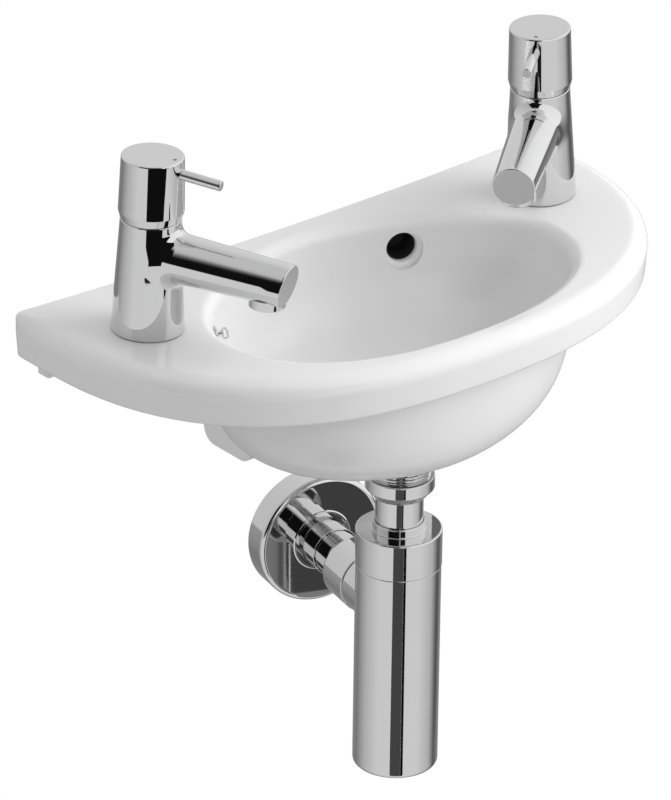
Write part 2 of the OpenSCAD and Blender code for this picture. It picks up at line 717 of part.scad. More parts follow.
// Outlet: nut, cone seal and pipe to the wall
nut_lip = 4;
nut_round = 1.5;
module outlet_nut() {
    color(chrome) at_trap() translate([outlet_nut_x, 0, -outlet_drop]) rotate([0, 90, 0])
        rotate_extrude() polygon([
            [socket_d/2 + fixed_gap, 0],
            [outlet_nut_d/2 - nut_edge, 0],
            [outlet_nut_d/2, nut_edge],
            [outlet_nut_d/2, outlet_nut_l - nut_round],
            [outlet_nut_d/2 - nut_round, outlet_nut_l],
            [pipe_d/2 + fixed_gap, outlet_nut_l],
            [pipe_d/2 + fixed_gap, outlet_nut_l - nut_lip],
            [socket_d/2 + fixed_gap, outlet_nut_l - nut_lip]]);
}
module outlet_seal() {
    l = outlet_nut_x + outlet_nut_l - nut_lip - boss_end;
    color(rubber) at_trap() translate([boss_end, 0, -outlet_drop]) rotate([0, 90, 0])
        flat_ring(socket_d, pipe_d, l);
}
// The flange's back stops this far short of the wall plane, measured along the outlet
wall_gap = 1.5;
wall_reach = waste_y/cos(trap_turn) - wall_gap;
// How far the pipe reaches back into the bottle's boss, and the groove that marks its end
pipe_entry = 6;
groove_w = 1;
groove_depth = 0.3;
pipe_start = outlet_nut_x - pipe_entry;
module outlet_pipe() {
    l = wall_reach + pipe_tail - pipe_start;
    color(chrome) at_trap() translate([pipe_start, 0, -outlet_drop]) rotate([0, 90, 0]) difference() {
        flat_ring(pipe_d, pipe_d - 2*tube_wall, l);
        // Groove that marks how far the pipe goes into the waste pipe's socket
        translate([0, 0, l - pipe_tail]) flat_ring(pipe_d + 2, pipe_d - 2*groove_depth, groove_w);
    }
}
flange_wall = 2;
flange_edge_r = 3;
flange_ring_d = 42;
sleeve_t = 0.9;
grip_w = 5;
grip_t = 1.6;
grip_wall = 1.4;
// The middle of the flange lies back behind a small ring
dish_depth = 2.5;
ring_rise = 0.6;
ring_w = 1;
module wall_flange() {
    r = flange_d/2;
    bore = pipe_d/2 + run_gap;
    back = dish_depth + flange_wall;
    color(chrome) at_trap() translate([wall_reach - flange_t, 0, -outlet_drop]) rotate([0, 90, 0])
        rotate_extrude() {
            polygon([
                [bore, -sleeve_l],
                [bore + sleeve_t, -sleeve_l],
                [bore + sleeve_t, dish_depth],
                [flange_ring_d/2 - ring_w, dish_depth],
                [flange_ring_d/2 - ring_w, -ring_rise],
                [flange_ring_d/2, -ring_rise],
                [flange_ring_d/2 + ring_rise, 0],
                [r - flange_edge_r, 0],
                [r - flange_edge_r, flange_edge_r],
                [r, flange_edge_r],
                [r, flange_t],
                [r - flange_wall, flange_t],
                [r - flange_wall, flange_edge_r + flange_wall],
                [flange_ring_d/2, back],
                [bore + grip_t + grip_wall, back],
                [bore + grip_t + grip_wall, back + grip_w + 1],
                [bore + grip_t, back + grip_w + 1],
                [bore + grip_t, back],
                [bore, back]]);
            translate([r - flange_edge_r, flange_edge_r]) circle(r = flange_edge_r);
        }
}
// Rubber ring that grips the pipe inside the flange's neck
module flange_grip_ring() {
    color(rubber) at_trap()
        translate([wall_reach - flange_t + dish_depth + flange_wall, 0, -outlet_drop])
            rotate([0, 90, 0])
                flat_ring(pipe_d + 2*run_gap + 2*grip_t, pipe_d + 2*run_gap, grip_w);
}

// Tap body: tapered pillar, spout, threaded tail
tail_d = 20.9;
tail_l = 45;
tail_nut_d = 38;
tail_nut_h = 7;
tail_hex_d = 32;
foot_seal_t = 0.8;
// The nut's thread ends in a groove below the nut; under it the tail is free for a connector
tail_free_z = deck_t + seal_t + tail_nut_h - tap_sink + 1;
tail_groove_w = 1.2;
thread_depth = 0.8;
body_bore_d = 24;
body_bore_l = 34;
waterway_d = 14;
spout_way_d = 12;
foot_edge_h = 1.2;
foot_edge = 0.4;
aerator_low = 35.2;
aerator_h = 6;
aerator_stem_h = 6;
aerator_neck_h = 8;
aerator_stem_d = 16;
aerator_screen_d = 20;
aerator_bore_d = 12;
spout_spare = 6;
module spout_cone() {
    translate([0, 0, spout_root_h]) rotate([0, 90 + spout_fall, 0])
        cylinder(h = spout_reach + spout_spare, d1 = spout_root_d, d2 = spout_end_d);
}
// Everything beyond the spout's slanted end face, with room on every side
module beyond_end() {
    room = 2*spout_root_d;
    top_z = spout_root_h - spout_reach*tan(spout_fall) + spout_end_d/2;
    translate([spout_reach, 0, top_z]) rotate([0, spout_cut, 0])
        translate([0, -room/2, -room]) cube([room, room, 2*room]);
}
module tap_body(side) {
    color(chrome) along_spout(side) difference() {
        union() {
            translate([0, 0, foot_seal_t])
                cylinder(h = foot_edge_h, d1 = tap_foot_d - 2*foot_edge, d2 = tap_foot_d);
            translate([0, 0, foot_seal_t + foot_edge_h])
                cylinder(h = tap_seam_h - foot_seal_t - foot_edge_h, d1 = tap_foot_d, d2 = tap_neck_d);
            difference() {
                spout_cone();
                beyond_end();
            }
            translate([aerator_reach, 0, aerator_low + aerator_h])
                cylinder(h = aerator_neck_h, d = aerator_d);
            translate([0, 0, -tail_free_z]) cylinder(h = tail_free_z + 2, d = tail_d);
            translate([0, 0, -tail_l + 1]) cylinder(h = tail_l, d = tail_d - 2*thread_depth);
            translate([0, 0, -tail_l + 1])
                cylinder(h = tail_l - 1 - tail_free_z - tail_groove_w, d = tail_d);
            translate([0, 0, -tail_l]) cylinder(h = 1, d1 = tail_d - 2, d2 = tail_d);
        }
        // Waterway up the tail, seat for the cartridge and way along the spout
        translate([0, 0, -tail_l - eps])
            cylinder(h = tail_l + tap_seam_h - body_bore_l + 1, d = waterway_d);
        translate([0, 0, tap_seam_h - body_bore_l]) cylinder(h = body_bore_l + eps, d = body_bore_d);
        translate([0, 0, spout_root_h - 1]) rotate([0, 90 + spout_fall, 0])
            cylinder(h = aerator_reach, d = spout_way_d);
        // Room for the aerator housing under the spout
        translate([aerator_reach, 0, aerator_low - 4])
            cylinder(h = aerator_h + 4, d = aerator_d + 2*fixed_gap);
        translate([aerator_reach, 0, aerator_low])
            cylinder(h = aerator_h + aerator_neck_h, d = aerator_stem_d + 2*fixed_gap);
    }
}
// Ceramic-disc cartridge screwed into the body, with the spindle turning in it
cartridge_top = tap_seam_h + 6;
cartridge_l = body_bore_l - 1;
cartridge_hex_d = 19;
cartridge_way_d = 13;
cartridge_way_l = 12;
spindle_d = 8;
bearing_l = 20;
screw_hole_d = 3.3;
screw_hole_l = 12;
module cartridge(side) {
    color(brass) at_tap(side) difference() {
        union() {
            translate([0, 0, tap_seam_h - cartridge_l])
                cylinder(h = cartridge_l, d = body_bore_d - 2*fixed_gap);
            translate([0, 0, tap_seam_h])
                cylinder(h = cartridge_top - tap_seam_h, d = cartridge_hex_d, $fn = 6);
        }
        translate([0, 0, tap_seam_h - bearing_l])
            cylinder(h = bearing_l + cartridge_top - tap_seam_h + 1, d = spindle_d + 2*shaft_gap);
        translate([0, 0, tap_seam_h - cartridge_l - 1])
            cylinder(h = cartridge_way_l, d = cartridge_way_d);
    }
}
spindle_top = tap_h - 10;
module spindle(side) {
    spindle_low = tap_seam_h - bearing_l + run_gap;
    color(brass) at_tap(side) difference() {
        translate([0, 0, spindle_low]) cylinder(h = spindle_top - spindle_low, d = spindle_d);
        translate([0, 0, spindle_top - screw_hole_l]) cylinder(h = screw_hole_l + eps, d = screw_hole_d);
    }
}
// Handle: hollow cap with a hub on the spindle and a chamfered lower edge
lever_h = tap_h - lever_drop;
lever_root = 9;
lever_edge = 0.6;
handle_wall = 2.2;
handle_low = tap_seam_h + run_gap;
handle_edge = 5.5;
handle_top_t = 4;
handle_top_edge = 0.8;
hub_d = 14;
module handle(side) {
    color(chrome) along_spout(side) difference() {
        union() {
            difference() {
                rotate_extrude() polygon([
                    [0, handle_low],
                    [tap_neck_d/2, handle_low],
                    [handle_d/2, handle_low + handle_edge],
                    [handle_top_d/2, tap_h - handle_top_edge],
                    [handle_top_d/2 - handle_top_edge, tap_h],
                    [0, tap_h]]);
                translate([0, 0, handle_low - eps])
                    cylinder(h = tap_h - handle_low - handle_top_t, d = tap_neck_d - 2*handle_wall);
            }
            translate([0, 0, cartridge_top + 2]) cylinder(h = tap_h - cartridge_top - 4, d = hub_d);
        }
        translate([0, 0, cartridge_top]) cylinder(h = spindle_top - cartridge_top, d = spindle_d);
        translate([0, 0, lever_h]) rotate([0, 90 + lever_fall, 0])
            translate([0, 0, lever_root]) cylinder(h = lever_reach, d = lever_d);
        translate([dot_x, 0, tap_h - dot_t]) cylinder(h = dot_t + eps, d = dot_d);
    }
}
module lever(side) {
    r = lever_d/2;
    color(chrome) along_spout(side) translate([0, 0, lever_h]) rotate([0, 90 + lever_fall, 0])
        rotate_extrude() polygon([
            [0, lever_root], [r, lever_root], [r, lever_reach - lever_edge],
            [r - lever_edge, lever_reach], [0, lever_reach]]);
}
dot_x = 15.5;
dot_d = 2.8;
dot_t = 0.8;
module index_dot(side) {
    color(rubber) along_spout(side) translate([dot_x, 0, tap_h - dot_t]) cylinder(h = dot_t, d = dot_d);
}
module aerator_housing(side) {
    color(chrome) along_spout(side) translate([aerator_reach, 0, aerator_low]) difference() {
        union() {
            cylinder(h = aerator_h, d = aerator_d);
            translate([0, 0, aerator_h]) cylinder(h = aerator_stem_h, d = aerator_stem_d);
        }
        translate([0, 0, -eps])
            cylinder(h = aerator_h + aerator_stem_h + 2*eps, d = aerator_bore_d);
        translate([0, 0, -eps])
            cylinder(h = screen_inset + screen_t + eps, d = aerator_screen_d + 2*fixed_gap);
    }
}
screen_inset = 0.8;
screen_t = 1.6;
screen_hole_d = 2.4;
screen_middle_d = 3;
screen_r = 6;
module aerator_screen(side) {
    color(plastic) along_spout(side)
        translate([aerator_reach, 0, aerator_low + screen_inset]) difference() {
            cylinder(h = screen_t, d = aerator_screen_d);
            for (k = [0:7]) rotate(45*k) translate([screen_r, 0, -eps])
                cylinder(h = screen_t + 2*eps, d = screen_hole_d);
            translate([0, 0, -eps]) cylinder(h = screen_t + 2*eps, d = screen_middle_d);
        }
}
module foot_seal(side) {
    color(rubber) at_tap(side) flat_ring(tap_foot_d - 3, tap_hole_d - 4, foot_seal_t);
}
module tail_washer(side) {
    color(rubber) at_tap(side) translate([0, 0, tap_sink - deck_t - seal_t])
        flat_ring(tail_nut_d, tail_d + 2*fixed_gap, seal_t);
}
module tail_nut(side) {
    color(brass) at_tap(side) translate([0, 0, tap_sink - deck_t - seal_t - tail_nut_h]) difference() {
        union() {
            cylinder(h = tail_nut_h, d = tail_hex_d, $fn = 6);
            translate([0, 0, tail_nut_h - nut_flange_t]) cylinder(h = nut_flange_t, d = tail_nut_d - 2);
        }
        translate([0, 0, -eps]) cylinder(h = tail_nut_h + 2*eps, d = tail_d + 2*fixed_gap);
    }
}

basin();
chain_stay();
chain_stay_washer();
chain_stay_nut();
waste_body();
waste_top_seal();
waste_lower_seal();
waste_backnut();
inlet_nut();
inlet_seal();
inlet_tube();
trap_cap();
cap_seal();
bottle();
outlet_nut();
outlet_seal();
outlet_pipe();
wall_flange();
flange_grip_ring();
tap_body(-1);  // tap_body_left
cartridge(-1);  // cartridge_left
spindle(-1);  // spindle_left
handle(-1);  // handle_left
lever(-1);  // lever_left
index_dot(-1);  // index_dot_left
aerator_housing(-1);  // aerator_housing_left
aerator_screen(-1);  // aerator_screen_left
foot_seal(-1);  // foot_seal_left
tail_washer(-1);  // tail_washer_left
tail_nut(-1);  // tail_nut_left
tap_body(1);  // tap_body_right
cartridge(1);  // cartridge_right
spindle(1);  // spindle_right
handle(1);  // handle_right
lever(1);  // lever_right
index_dot(1);  // index_dot_right
aerator_housing(1);  // aerator_housing_right
aerator_screen(1);  // aerator_screen_right
foot_seal(1);  // foot_seal_right
tail_washer(1);  // tail_washer_right
tail_nut(1);  // tail_nut_right
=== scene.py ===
import json
import math

import bpy
import numpy as np
from mathutils import Matrix, Vector


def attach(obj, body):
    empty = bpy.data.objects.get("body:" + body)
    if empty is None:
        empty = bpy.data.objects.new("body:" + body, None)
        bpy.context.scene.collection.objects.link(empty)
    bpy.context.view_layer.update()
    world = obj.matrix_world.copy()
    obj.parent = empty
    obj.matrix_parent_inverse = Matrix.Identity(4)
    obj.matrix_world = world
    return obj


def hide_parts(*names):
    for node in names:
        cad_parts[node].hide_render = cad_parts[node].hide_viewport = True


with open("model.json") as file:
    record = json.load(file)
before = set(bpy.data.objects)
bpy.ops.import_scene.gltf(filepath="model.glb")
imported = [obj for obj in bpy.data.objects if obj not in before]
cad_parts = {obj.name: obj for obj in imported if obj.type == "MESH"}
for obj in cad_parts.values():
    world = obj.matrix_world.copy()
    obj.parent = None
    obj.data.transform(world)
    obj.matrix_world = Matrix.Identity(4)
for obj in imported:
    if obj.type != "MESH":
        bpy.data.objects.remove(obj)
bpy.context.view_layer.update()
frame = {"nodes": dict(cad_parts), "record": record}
MM = 0.001
# Edges shorter than this are merged after two pieces are joined, in millimetres
SPECK = 0.02

# Camera, as the photograph was taken
VIEW_TURN = math.radians(-39.757)
VIEW_TILT = math.radians(26.885)
VIEW_ROLL = math.radians(0.797)
VIEW_DISTANCE = 4.968
VIEW_SIDE = 0.0358
VIEW_RISE = -0.1176
VIEW_LENS = 337.5
# Height of the taps' feet above the wall-fixing holes, where the camera was levelled
VIEW_LEVEL = 0.0348

# Basin, in millimetres
FIX_DROP = 32
BASIN_W = 450
BASIN_D = 216
END_FLAT = 29
FRONT_CURVE = 2.52
BACK_CORNER = 8
RIM_H = 31
RIM_EDGE = 12
WALL_EDGE = 4
SKIRT_T = 10
DECK_T = 11
DECK_RISE = 5.1
BOWL_W = 268
BOWL_Y = 110
RIM_FRONT = 23
RIM_BACK = 22
BOWL_FRONT_CURVE = 2.38
BOWL_BACK_CURVE = 1.75
SHELL_FRONT_CURVE = 2.2
LIP = 9
BOWL_DEPTH = 82
BOWL_SECTION = 2.1
SHELL_SECTION = 2.8
WALL = 6.5
UNDERSIDE = 107
SEAT_R = 35
SEAT_SINK = 3
BOSS_R = 40
RECESS = 6
RECESS_D = 64
HOLLOW_GAP = 9
HOLLOW_RAMP = 30
ROOT_T = 4
PANEL_W = 408
PANEL_DROP = 46
PANEL_T = 12
BLOCK_LEFT = 65
BLOCK_RIGHT = 94
BLOCK_D = 50
BLOCK_DROP = 138
# Near-black painted shade: it stands in for the shade deep inside the overflow hole
BLOCK_EDGE = 11
# Rounding of the block's side edges, and the height up to which they have it
BLOCK_SIDE_EDGE = 3.5
BLOCK_SIDE_H = 70
FIX_SPACING = 280
FIX_HOLE = 12
OVERFLOW_D = 20.5
OVERFLOW_X = 71
OVERFLOW_DROP = 21.5
OVERFLOW_TURN = 22
OVERFLOW_ROUND = 0.5
# Depth at which the overflow hole turns from glaze to a near-black painted shade, standing in for the shade
# deep in the hole
OVERFLOW_SHADE_DEPTH = 4
RISER_D = 15
RISER_Y = -26
HOUSING_WALL = 6
HOUSING_COVER = 3.5

# Chain stay, in millimetres and degrees
STAY_X = -112
STAY_DROP = 19
STAY_TURN = 136
STAY_TILT = 9.5
STAY_HOLE = 6.5
STAY_FLANGE_D = 10
STAY_TAIL = 14
STAY_TAIL_R = 3
STAY_WASHER_D = 13
STAY_BACK_SINK = 0.5
# Eye: height of its middle, radius, thickness and how far its two halves are drawn apart
STAY_EYE = 6.8
STAY_EYE_R = 1.7
STAY_WIRE_R = 0.75
STAY_EYE_DRAW = 1.9

# Taps, in millimetres from the foot along each tap's own axis
TAP_SPACING = 333.6
TAP_Y = 69
TAP_SINK = 0.3
TAP_HOLE = 28
LEFT_TURN = 64
RIGHT_TURN = 39
FOOT_D = 48
FOOT_SEAL = 0.8
NECK_D = 39.8
SEAM_H = 78.5
PILLAR_EDGE = 0.5
TAP_H = 121.8
HANDLE_D = 42.8
HANDLE_TOP_D = 40.9
HANDLE_EDGE = 5.5
HANDLE_WALL = 2.2
SPOUT_H = 55
SPOUT_FALL = 2
SPOUT_ROOT_D = 34
SPOUT_END_D = 28.6
SPOUT_REACH = 100.5
SPOUT_CUT = 10
SPOUT_EDGE = 0.9
# Softness of the blend between pillar and spout, and the remesh's grain
ROOT_BLEND = 6
TAP_VOXEL = 0.65
AERATOR_REACH = 83.5
AERATOR_D = 24.5
AERATOR_WALL = 2.3
AERATOR_LOW = 35.2
AERATOR_TOP = 42
LEVER_D = 7
LEVER_REACH = 49
LEVER_H = 114
LEVER_FALL = 4
LEVER_ROOT = 9
TAIL_D = 20.9
TAIL_BORE = 12
TAIL_L = 45
TAIL_PITCH = 1.814
TAIL_SEAT_D = 42

# Waste and trap, in millimetres
RUN_GAP = 0.3
SEAL_T = 2
WASTE_Y = 126
WASTE_D = 41.5
WASTE_BORE = 34
WASTE_HOLE = 44
WASTE_FLANGE_D = 62
WASTE_END = 137
WASTE_PITCH = 2.31
# Grid plate, and its middle hole and ring of six
GRID_D = 35
GRID_MIDDLE_D = 7
GRID_HOLE_D = 8
GRID_RING_R = 11
SLOT_W = 14
SLOT_H = 9
INLET_NUT_D = 46.5
NUT_GRIP = 4.6
NUT_BELOW = 6.6
TUBE_D = 32
TUBE_WALL = 1.5
TUBE_FLANGE_D = 39.5
TUBE_FLANGE_T = 2
# The inlet tube ends this far above the bottle's underside
DIP_RISE = 38
TRAP_TURN = 11.3
CAP_DROP = 172.5
CAP_D = 58
CAP_H = 26.5
CAP_WALL = 2.6
CAP_SEAL_T = 3
COLLAR_D = 35.6
COLLAR_H = 6
NECK_H = 18
BOTTLE_D = 57.3
BOTTLE_H = 150
BOTTLE_WALL = 2
BOTTLE_FLOOR = 3
OUTLET_DROP = 34
BOSS_D = 42.5
SOCKET_D = 38.5
SOCKET_DEPTH = 12
OUTLET_NUT_X = 39.5
OUTLET_NUT_D = 44
OUTLET_NUT_L = 26
PIPE_TAIL = 20
FLANGE_D = 92
FLANGE_T = 20
FLANGE_RING_D = 42
SLEEVE_L = 20

# Studio: soft light on matt surfaces from above and from below, on the far side and on the camera's side
SOFT_ABOVE = (1.17, 0.43)
SOFT_BELOW = (0.46, 1.14)
# Lamps in metres and watts, and the floor
KEY_PLACE = (1.1, -0.95, 0.65)
KEY_SIZE = 1.7
KEY_WATTS = 26
FILL_PLACE = (-1.2, -1.4, 1.2)
FILL_SIZE = 1.2
FILL_WATTS = 2
LAMP_AIM = (0, -0.1, 0)
FLOOR_Z = -0.85
# What chrome sees round the object: grey levels at degrees from the camera's side to its right
CHROME_SHARE = 0.72
LOW_RING = [(-180, 130), (-130, 114), (-90, 172), (-50, 198), (60, 200), (100, 172), (124, 84), (136, 90),
            (150, 124), (180, 130)]
HIGH_RING = [(-180, 200), (-50, 172), (-44, 14), (0, 14), (8, 222), (130, 232), (180, 200)]
CEILING_GREY = 185
# Flags that only reflections show: distance towards the camera, and outlines across and up in millimetres
FLAG_AWAY = 327
FLAGS = {
    "left": (14, [(-124, 30), (60, 30), (84, 45), (229, 83), (229, 130), (40, 150), (40, 450), (-100, 450),
                  (-100, 130), (-124, 130)]),
    "right": (22, [(105, -78), (196, -78), (196, -5), (105, -5)]),
    "low": (64, [(27, -560), (138, -560), (132, -190), (27, -190)]),
    "low_edge": (12, [(139, -560), (166, -560), (160, -190), (133, -190)]),
}
# Upright grey cards near the trap that only reflections show: grey, sides, distance and heights
CARDS = [
    (118, (38, 104), -150, (-420, -312)),
    (58, (38, 104), -150, (-312, -190)),
    (95, (60, 200), 14, (-135, -22)),
]


def deselect():
    bpy.ops.object.select_all(action="DESELECT")


def pick(piece):
    deselect()
    piece.select_set(True)
    bpy.context.view_layer.objects.active = piece


def edit_all(piece):
    pick(piece)
    bpy.ops.object.mode_set(mode="EDIT")
    bpy.ops.mesh.select_all(action="SELECT")


def leave_edit():
    bpy.ops.object.mode_set(mode="OBJECT")


def add_piece(name, primitive, **sizes):
    """New primitive, selected alone"""
    deselect()
    primitive(**sizes)
    piece = bpy.context.object
    piece.name = name
    return piece


def apply_modifier(piece, kind, **settings):
    pick(piece)
    modifier = piece.modifiers.new(kind.lower(), kind)
    for key, value in settings.items():
        setattr(modifier, key, value)
    bpy.ops.object.modifier_apply(modifier=modifier.name)


def smooth(piece, degrees=32):
    pick(piece)
    bpy.ops.object.shade_smooth_by_angle(angle=math.radians(degrees))


def face_outwards(piece):
    edit_all(piece)
    bpy.ops.mesh.remove_doubles(threshold=1e-7)
    bpy.ops.mesh.normals_make_consistent(inside=False)
    leave_edit()


def put(piece, matrix):
    pick(piece)
    piece.matrix_world = matrix
    bpy.ops.object.transform_apply(location=True, rotation=True, scale=True)
    return piece


def shift(x=0, y=0, z=0):
    """A move, in millimetres"""
    return Matrix.Translation((x * MM, y * MM, z * MM))


def swing(axis, degrees):
    return Matrix.Rotation(math.radians(degrees), 4, axis)


def rounded(points, steps=5):
    """Outline with arcs at the corners that carry a radius, and a close point on each side of an arc"""
    out = []
    for i, point in enumerate(points):
        here = Vector(point[:2])
        radius = point[2] if len(point) > 2 else 0
        if radius == 0 or i in (0, len(points) - 1):
            out.append(tuple(here))
            continue
        back = (Vector(points[i - 1][:2]) - here).normalized()
        ahead = (Vector(points[i + 1][:2]) - here).normalized()
        half = back.angle(ahead) / 2
        reach = radius / math.tan(half)
        centre = here + (back + ahead).normalized() * radius / math.sin(half)
        start = here + back * reach - centre
        end = here + ahead * reach - centre
        sweep = start.angle_signed(end)
        out.append(tuple(here + back * (reach + 0.25 * radius)))
        for k in range(steps + 1):
            turn = Matrix.Rotation(-sweep * k / steps, 2)
            out.append(tuple(centre + turn @ start))
        out.append(tuple(here + ahead * (reach + 0.25 * radius)))
    return out


def turned(name, profile, ring=False, segments=96):
    """Piece turned round +Z from a profile of (radius, height) in millimetres, which a ring closes"""
    radius, height = profile[0]
    piece = add_piece(name, bpy.ops.mesh.primitive_circle_add, vertices=segments, radius=radius * MM,
                      location=(0, 0, height * MM), fill_type="NOTHING")
    piece.data.name = name
    bpy.ops.object.transform_apply(location=True)
    edit_all(piece)
    if not ring:
        bpy.ops.mesh.edge_face_add()
    way = list(zip(profile, profile[1:]))
    if ring:
        way.append((profile[-1], profile[0]))
    for (r0, z0), (r1, z1) in way:
        bpy.ops.mesh.extrude_region_move(TRANSFORM_OT_translate={"value": (0, 0, (z1 - z0) * MM)})
        bpy.ops.transform.resize(value=(r1 / r0, r1 / r0, 1), center_override=(0, 0, z1 * MM))
    leave_edit()
    face_outwards(piece)
    smooth(piece)
    return piece


def cut(piece, cutter, operation="DIFFERENCE", **settings):
    """Cuts one piece with another and removes the cutter"""
    apply_modifier(piece, "BOOLEAN", operation=operation, object=cutter, solver="EXACT", **settings)
    bpy.data.objects.remove(cutter, do_unlink=True)


def grow(piece, other):
    """Joins one piece onto another and merges the specks that would leave the mesh open for the next cut"""
    cut(piece, other, "UNION")
    edit_all(piece)
    bpy.ops.mesh.remove_doubles(threshold=SPECK * MM)
    bpy.ops.mesh.dissolve_degenerate(threshold=SPECK * MM)
    leave_edit()


def join(piece, *others):
    pick(piece)
    for other in others:
        other.select_set(True)
    bpy.ops.object.join()
    return piece


# Shader nodes, and the groups that several finishes share

def feed(tree, node, sockets):
    """Sets each named socket of a node to a value, or links it to the output that feeds it"""
    for label, value in sockets.items():
        if isinstance(value, bpy.types.NodeSocket):
            tree.links.new(value, node.inputs[label])
        else:
            node.inputs[label].default_value = value


def add_node(tree, kind, sockets=None, **settings):
    node = tree.nodes.new("ShaderNode" + kind)
    for key, value in settings.items():
        setattr(node, key, value)
    feed(tree, node, sockets or {})
    return node


def new_group(name, output, kind, inputs):
    """Node group with one output, and inputs that start at a number or a colour"""
    group = bpy.data.node_groups.new(name, "ShaderNodeTree")
    for label, value in inputs.items():
        number = "NodeSocketFloat" if isinstance(value, float) else "NodeSocketColor"
        group.interface.new_socket(name=label, in_out="INPUT", socket_type=number).default_value = value
    group.interface.new_socket(name=output, in_out="OUTPUT", socket_type=kind)
    return group, group.nodes.new("NodeGroupInput").outputs, group.nodes.new("NodeGroupOutput")


def noise(tree, scale, detail=3.0, roughness=0.5):
    """Noise on the piece's own coordinates, at a scale that another socket gives"""
    place = add_node(tree, "TexCoord").outputs["Object"]
    return add_node(tree, "TexNoise", {
        "Detail": detail, "Roughness": roughness, "Vector": place, "Scale": scale}).outputs["Fac"]


def make_gloss_group():
    """Polished in most places and a little duller in patches"""
    group, ins, out = new_group("Uneven gloss", "Roughness", "NodeSocketFloat",
                                {"Polished": 0.05, "Dull": 0.12, "Scale": 30.0})
    spread = add_node(group, "MapRange", {
        "From Min": 0.35, "From Max": 0.75, "Value": noise(group, ins["Scale"]),
        "To Min": ins["Polished"], "To Max": ins["Dull"]})
    feed(group, out, {"Roughness": spread.outputs["Result"]})
    return group


def make_tone_group():
    """A colour that drifts a little over the surface"""
    group, ins, out = new_group("Tone drift", "Colour", "NodeSocketColor",
                                {"Colour": (0.8, 0.8, 0.8, 1), "Darker": 0.96, "Scale": 12.0})
    level = add_node(group, "MapRange", {
        "From Min": 0.3, "From Max": 0.7, "Value": noise(group, ins["Scale"], detail=4.0, roughness=0.6),
        "To Min": ins["Darker"], "To Max": 1.0})
    scaled = add_node(group, "VectorMath", {0: ins["Colour"], "Scale": level.outputs["Result"]},
                      operation="SCALE")
    feed(group, out, {"Colour": scaled.outputs["Vector"]})
    return group


def make_ripple_group():
    """Very shallow waves, as a fired glaze or a plated casting has"""
    group, ins, out = new_group("Soft ripple", "Normal", "NodeSocketVector",
                                {"Scale": 60.0, "Depth": 0.0002, "Strength": 0.2})
    bump = add_node(group, "Bump", {
        "Height": noise(group, ins["Scale"], detail=1.5), "Distance": ins["Depth"],
        "Strength": ins["Strength"]})
    feed(group, out, {"Normal": bump.outputs["Normal"]})
    return group


GLOSS = make_gloss_group()
TONE = make_tone_group()
RIPPLE = make_ripple_group()


def new_material(name):
    material = bpy.data.materials.new(name)
    material.use_nodes = True
    return material, material.node_tree, material.node_tree.nodes["Principled BSDF"]


def finish_of(name, colour, polished, dull, patch, ripple=None, darker=0.97, **sockets):
    """A material: drifting tone, uneven gloss and, where asked, a soft ripple of (scale, depth, strength)"""
    material, tree, shader = new_material(name)

    def effect(group, **values):
        return add_node(tree, "Group", values, node_tree=group).outputs[0]

    feed(tree, shader, {
        "Base Color": effect(TONE, Colour=(*colour, 1), Darker=darker, Scale=patch * 0.4),
        "Roughness": effect(GLOSS, Polished=polished, Dull=dull, Scale=patch)})
    if ripple:
        feed(tree, shader, {"Normal": effect(RIPPLE, Scale=ripple[0], Depth=ripple[1], Strength=ripple[2])})
    feed(tree, shader, {label.replace("_", " "): value for label, value in sockets.items()})
    return material


GLAZE = finish_of("White glaze", (0.76, 0.76, 0.76), 0.14, 0.20, 25, ripple=(45, 0.0004, 0.12),
                  darker=0.985, IOR=1.5)
CHANNEL_SHADE = finish_of("Painted channel shade", (0.03, 0.03, 0.03), 0.6, 0.8, 80, darker=0.8)
CHROME = finish_of("Mirror chrome", (0.72, 0.72, 0.725), 0.025, 0.05, 35, darker=0.985, Metallic=1.0)
BRASS = finish_of("Plated brass", (0.62, 0.57, 0.47), 0.18, 0.32, 90, ripple=(400, 0.0001, 0.3),
                  darker=0.88, Metallic=1.0)
RUBBER = finish_of("Black rubber", (0.055, 0.055, 0.055), 0.55, 0.75, 150, ripple=(600, 0.0002, 0.4),
                   darker=0.8)
PLASTIC = finish_of("Moulded plastic", (0.72, 0.72, 0.70), 0.3, 0.45, 120, ripple=(500, 0.0001, 0.3),
                    darker=0.93)
ENAMEL = finish_of("Dot enamel", (0.10, 0.10, 0.10), 0.2, 0.3, 200, darker=0.9)
FINISHES = {"glaze": GLAZE, "chrome": CHROME, "brass": BRASS, "rubber": RUBBER, "plastic": PLASTIC,
            "index": ENAMEL}


def dress(piece, place, slot, body, *replaced):
    """Puts a piece in its place, gives it its finish and its body, and lets it stand for CAD nodes"""
    put(piece, place)
    piece.data.materials.clear()
    piece.data.materials.append(FINISHES[slot])
    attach(piece, body)
    if replaced:
        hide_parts(*replaced)


# Every carried-over node first gets its finish, also those that a finer piece replaces later
slots = {entry["node"]: entry["material_slot"] for entry in frame["record"]["subparts"]}
for node_name, node in frame["nodes"].items():
    node.data.materials.clear()
    node.data.materials.append(FINISHES[slots[node_name]])

deck_z = FIX_DROP
floor_z = deck_z - BOWL_DEPTH
half_w = BASIN_W / 2


# The basin's surface, ring by ring

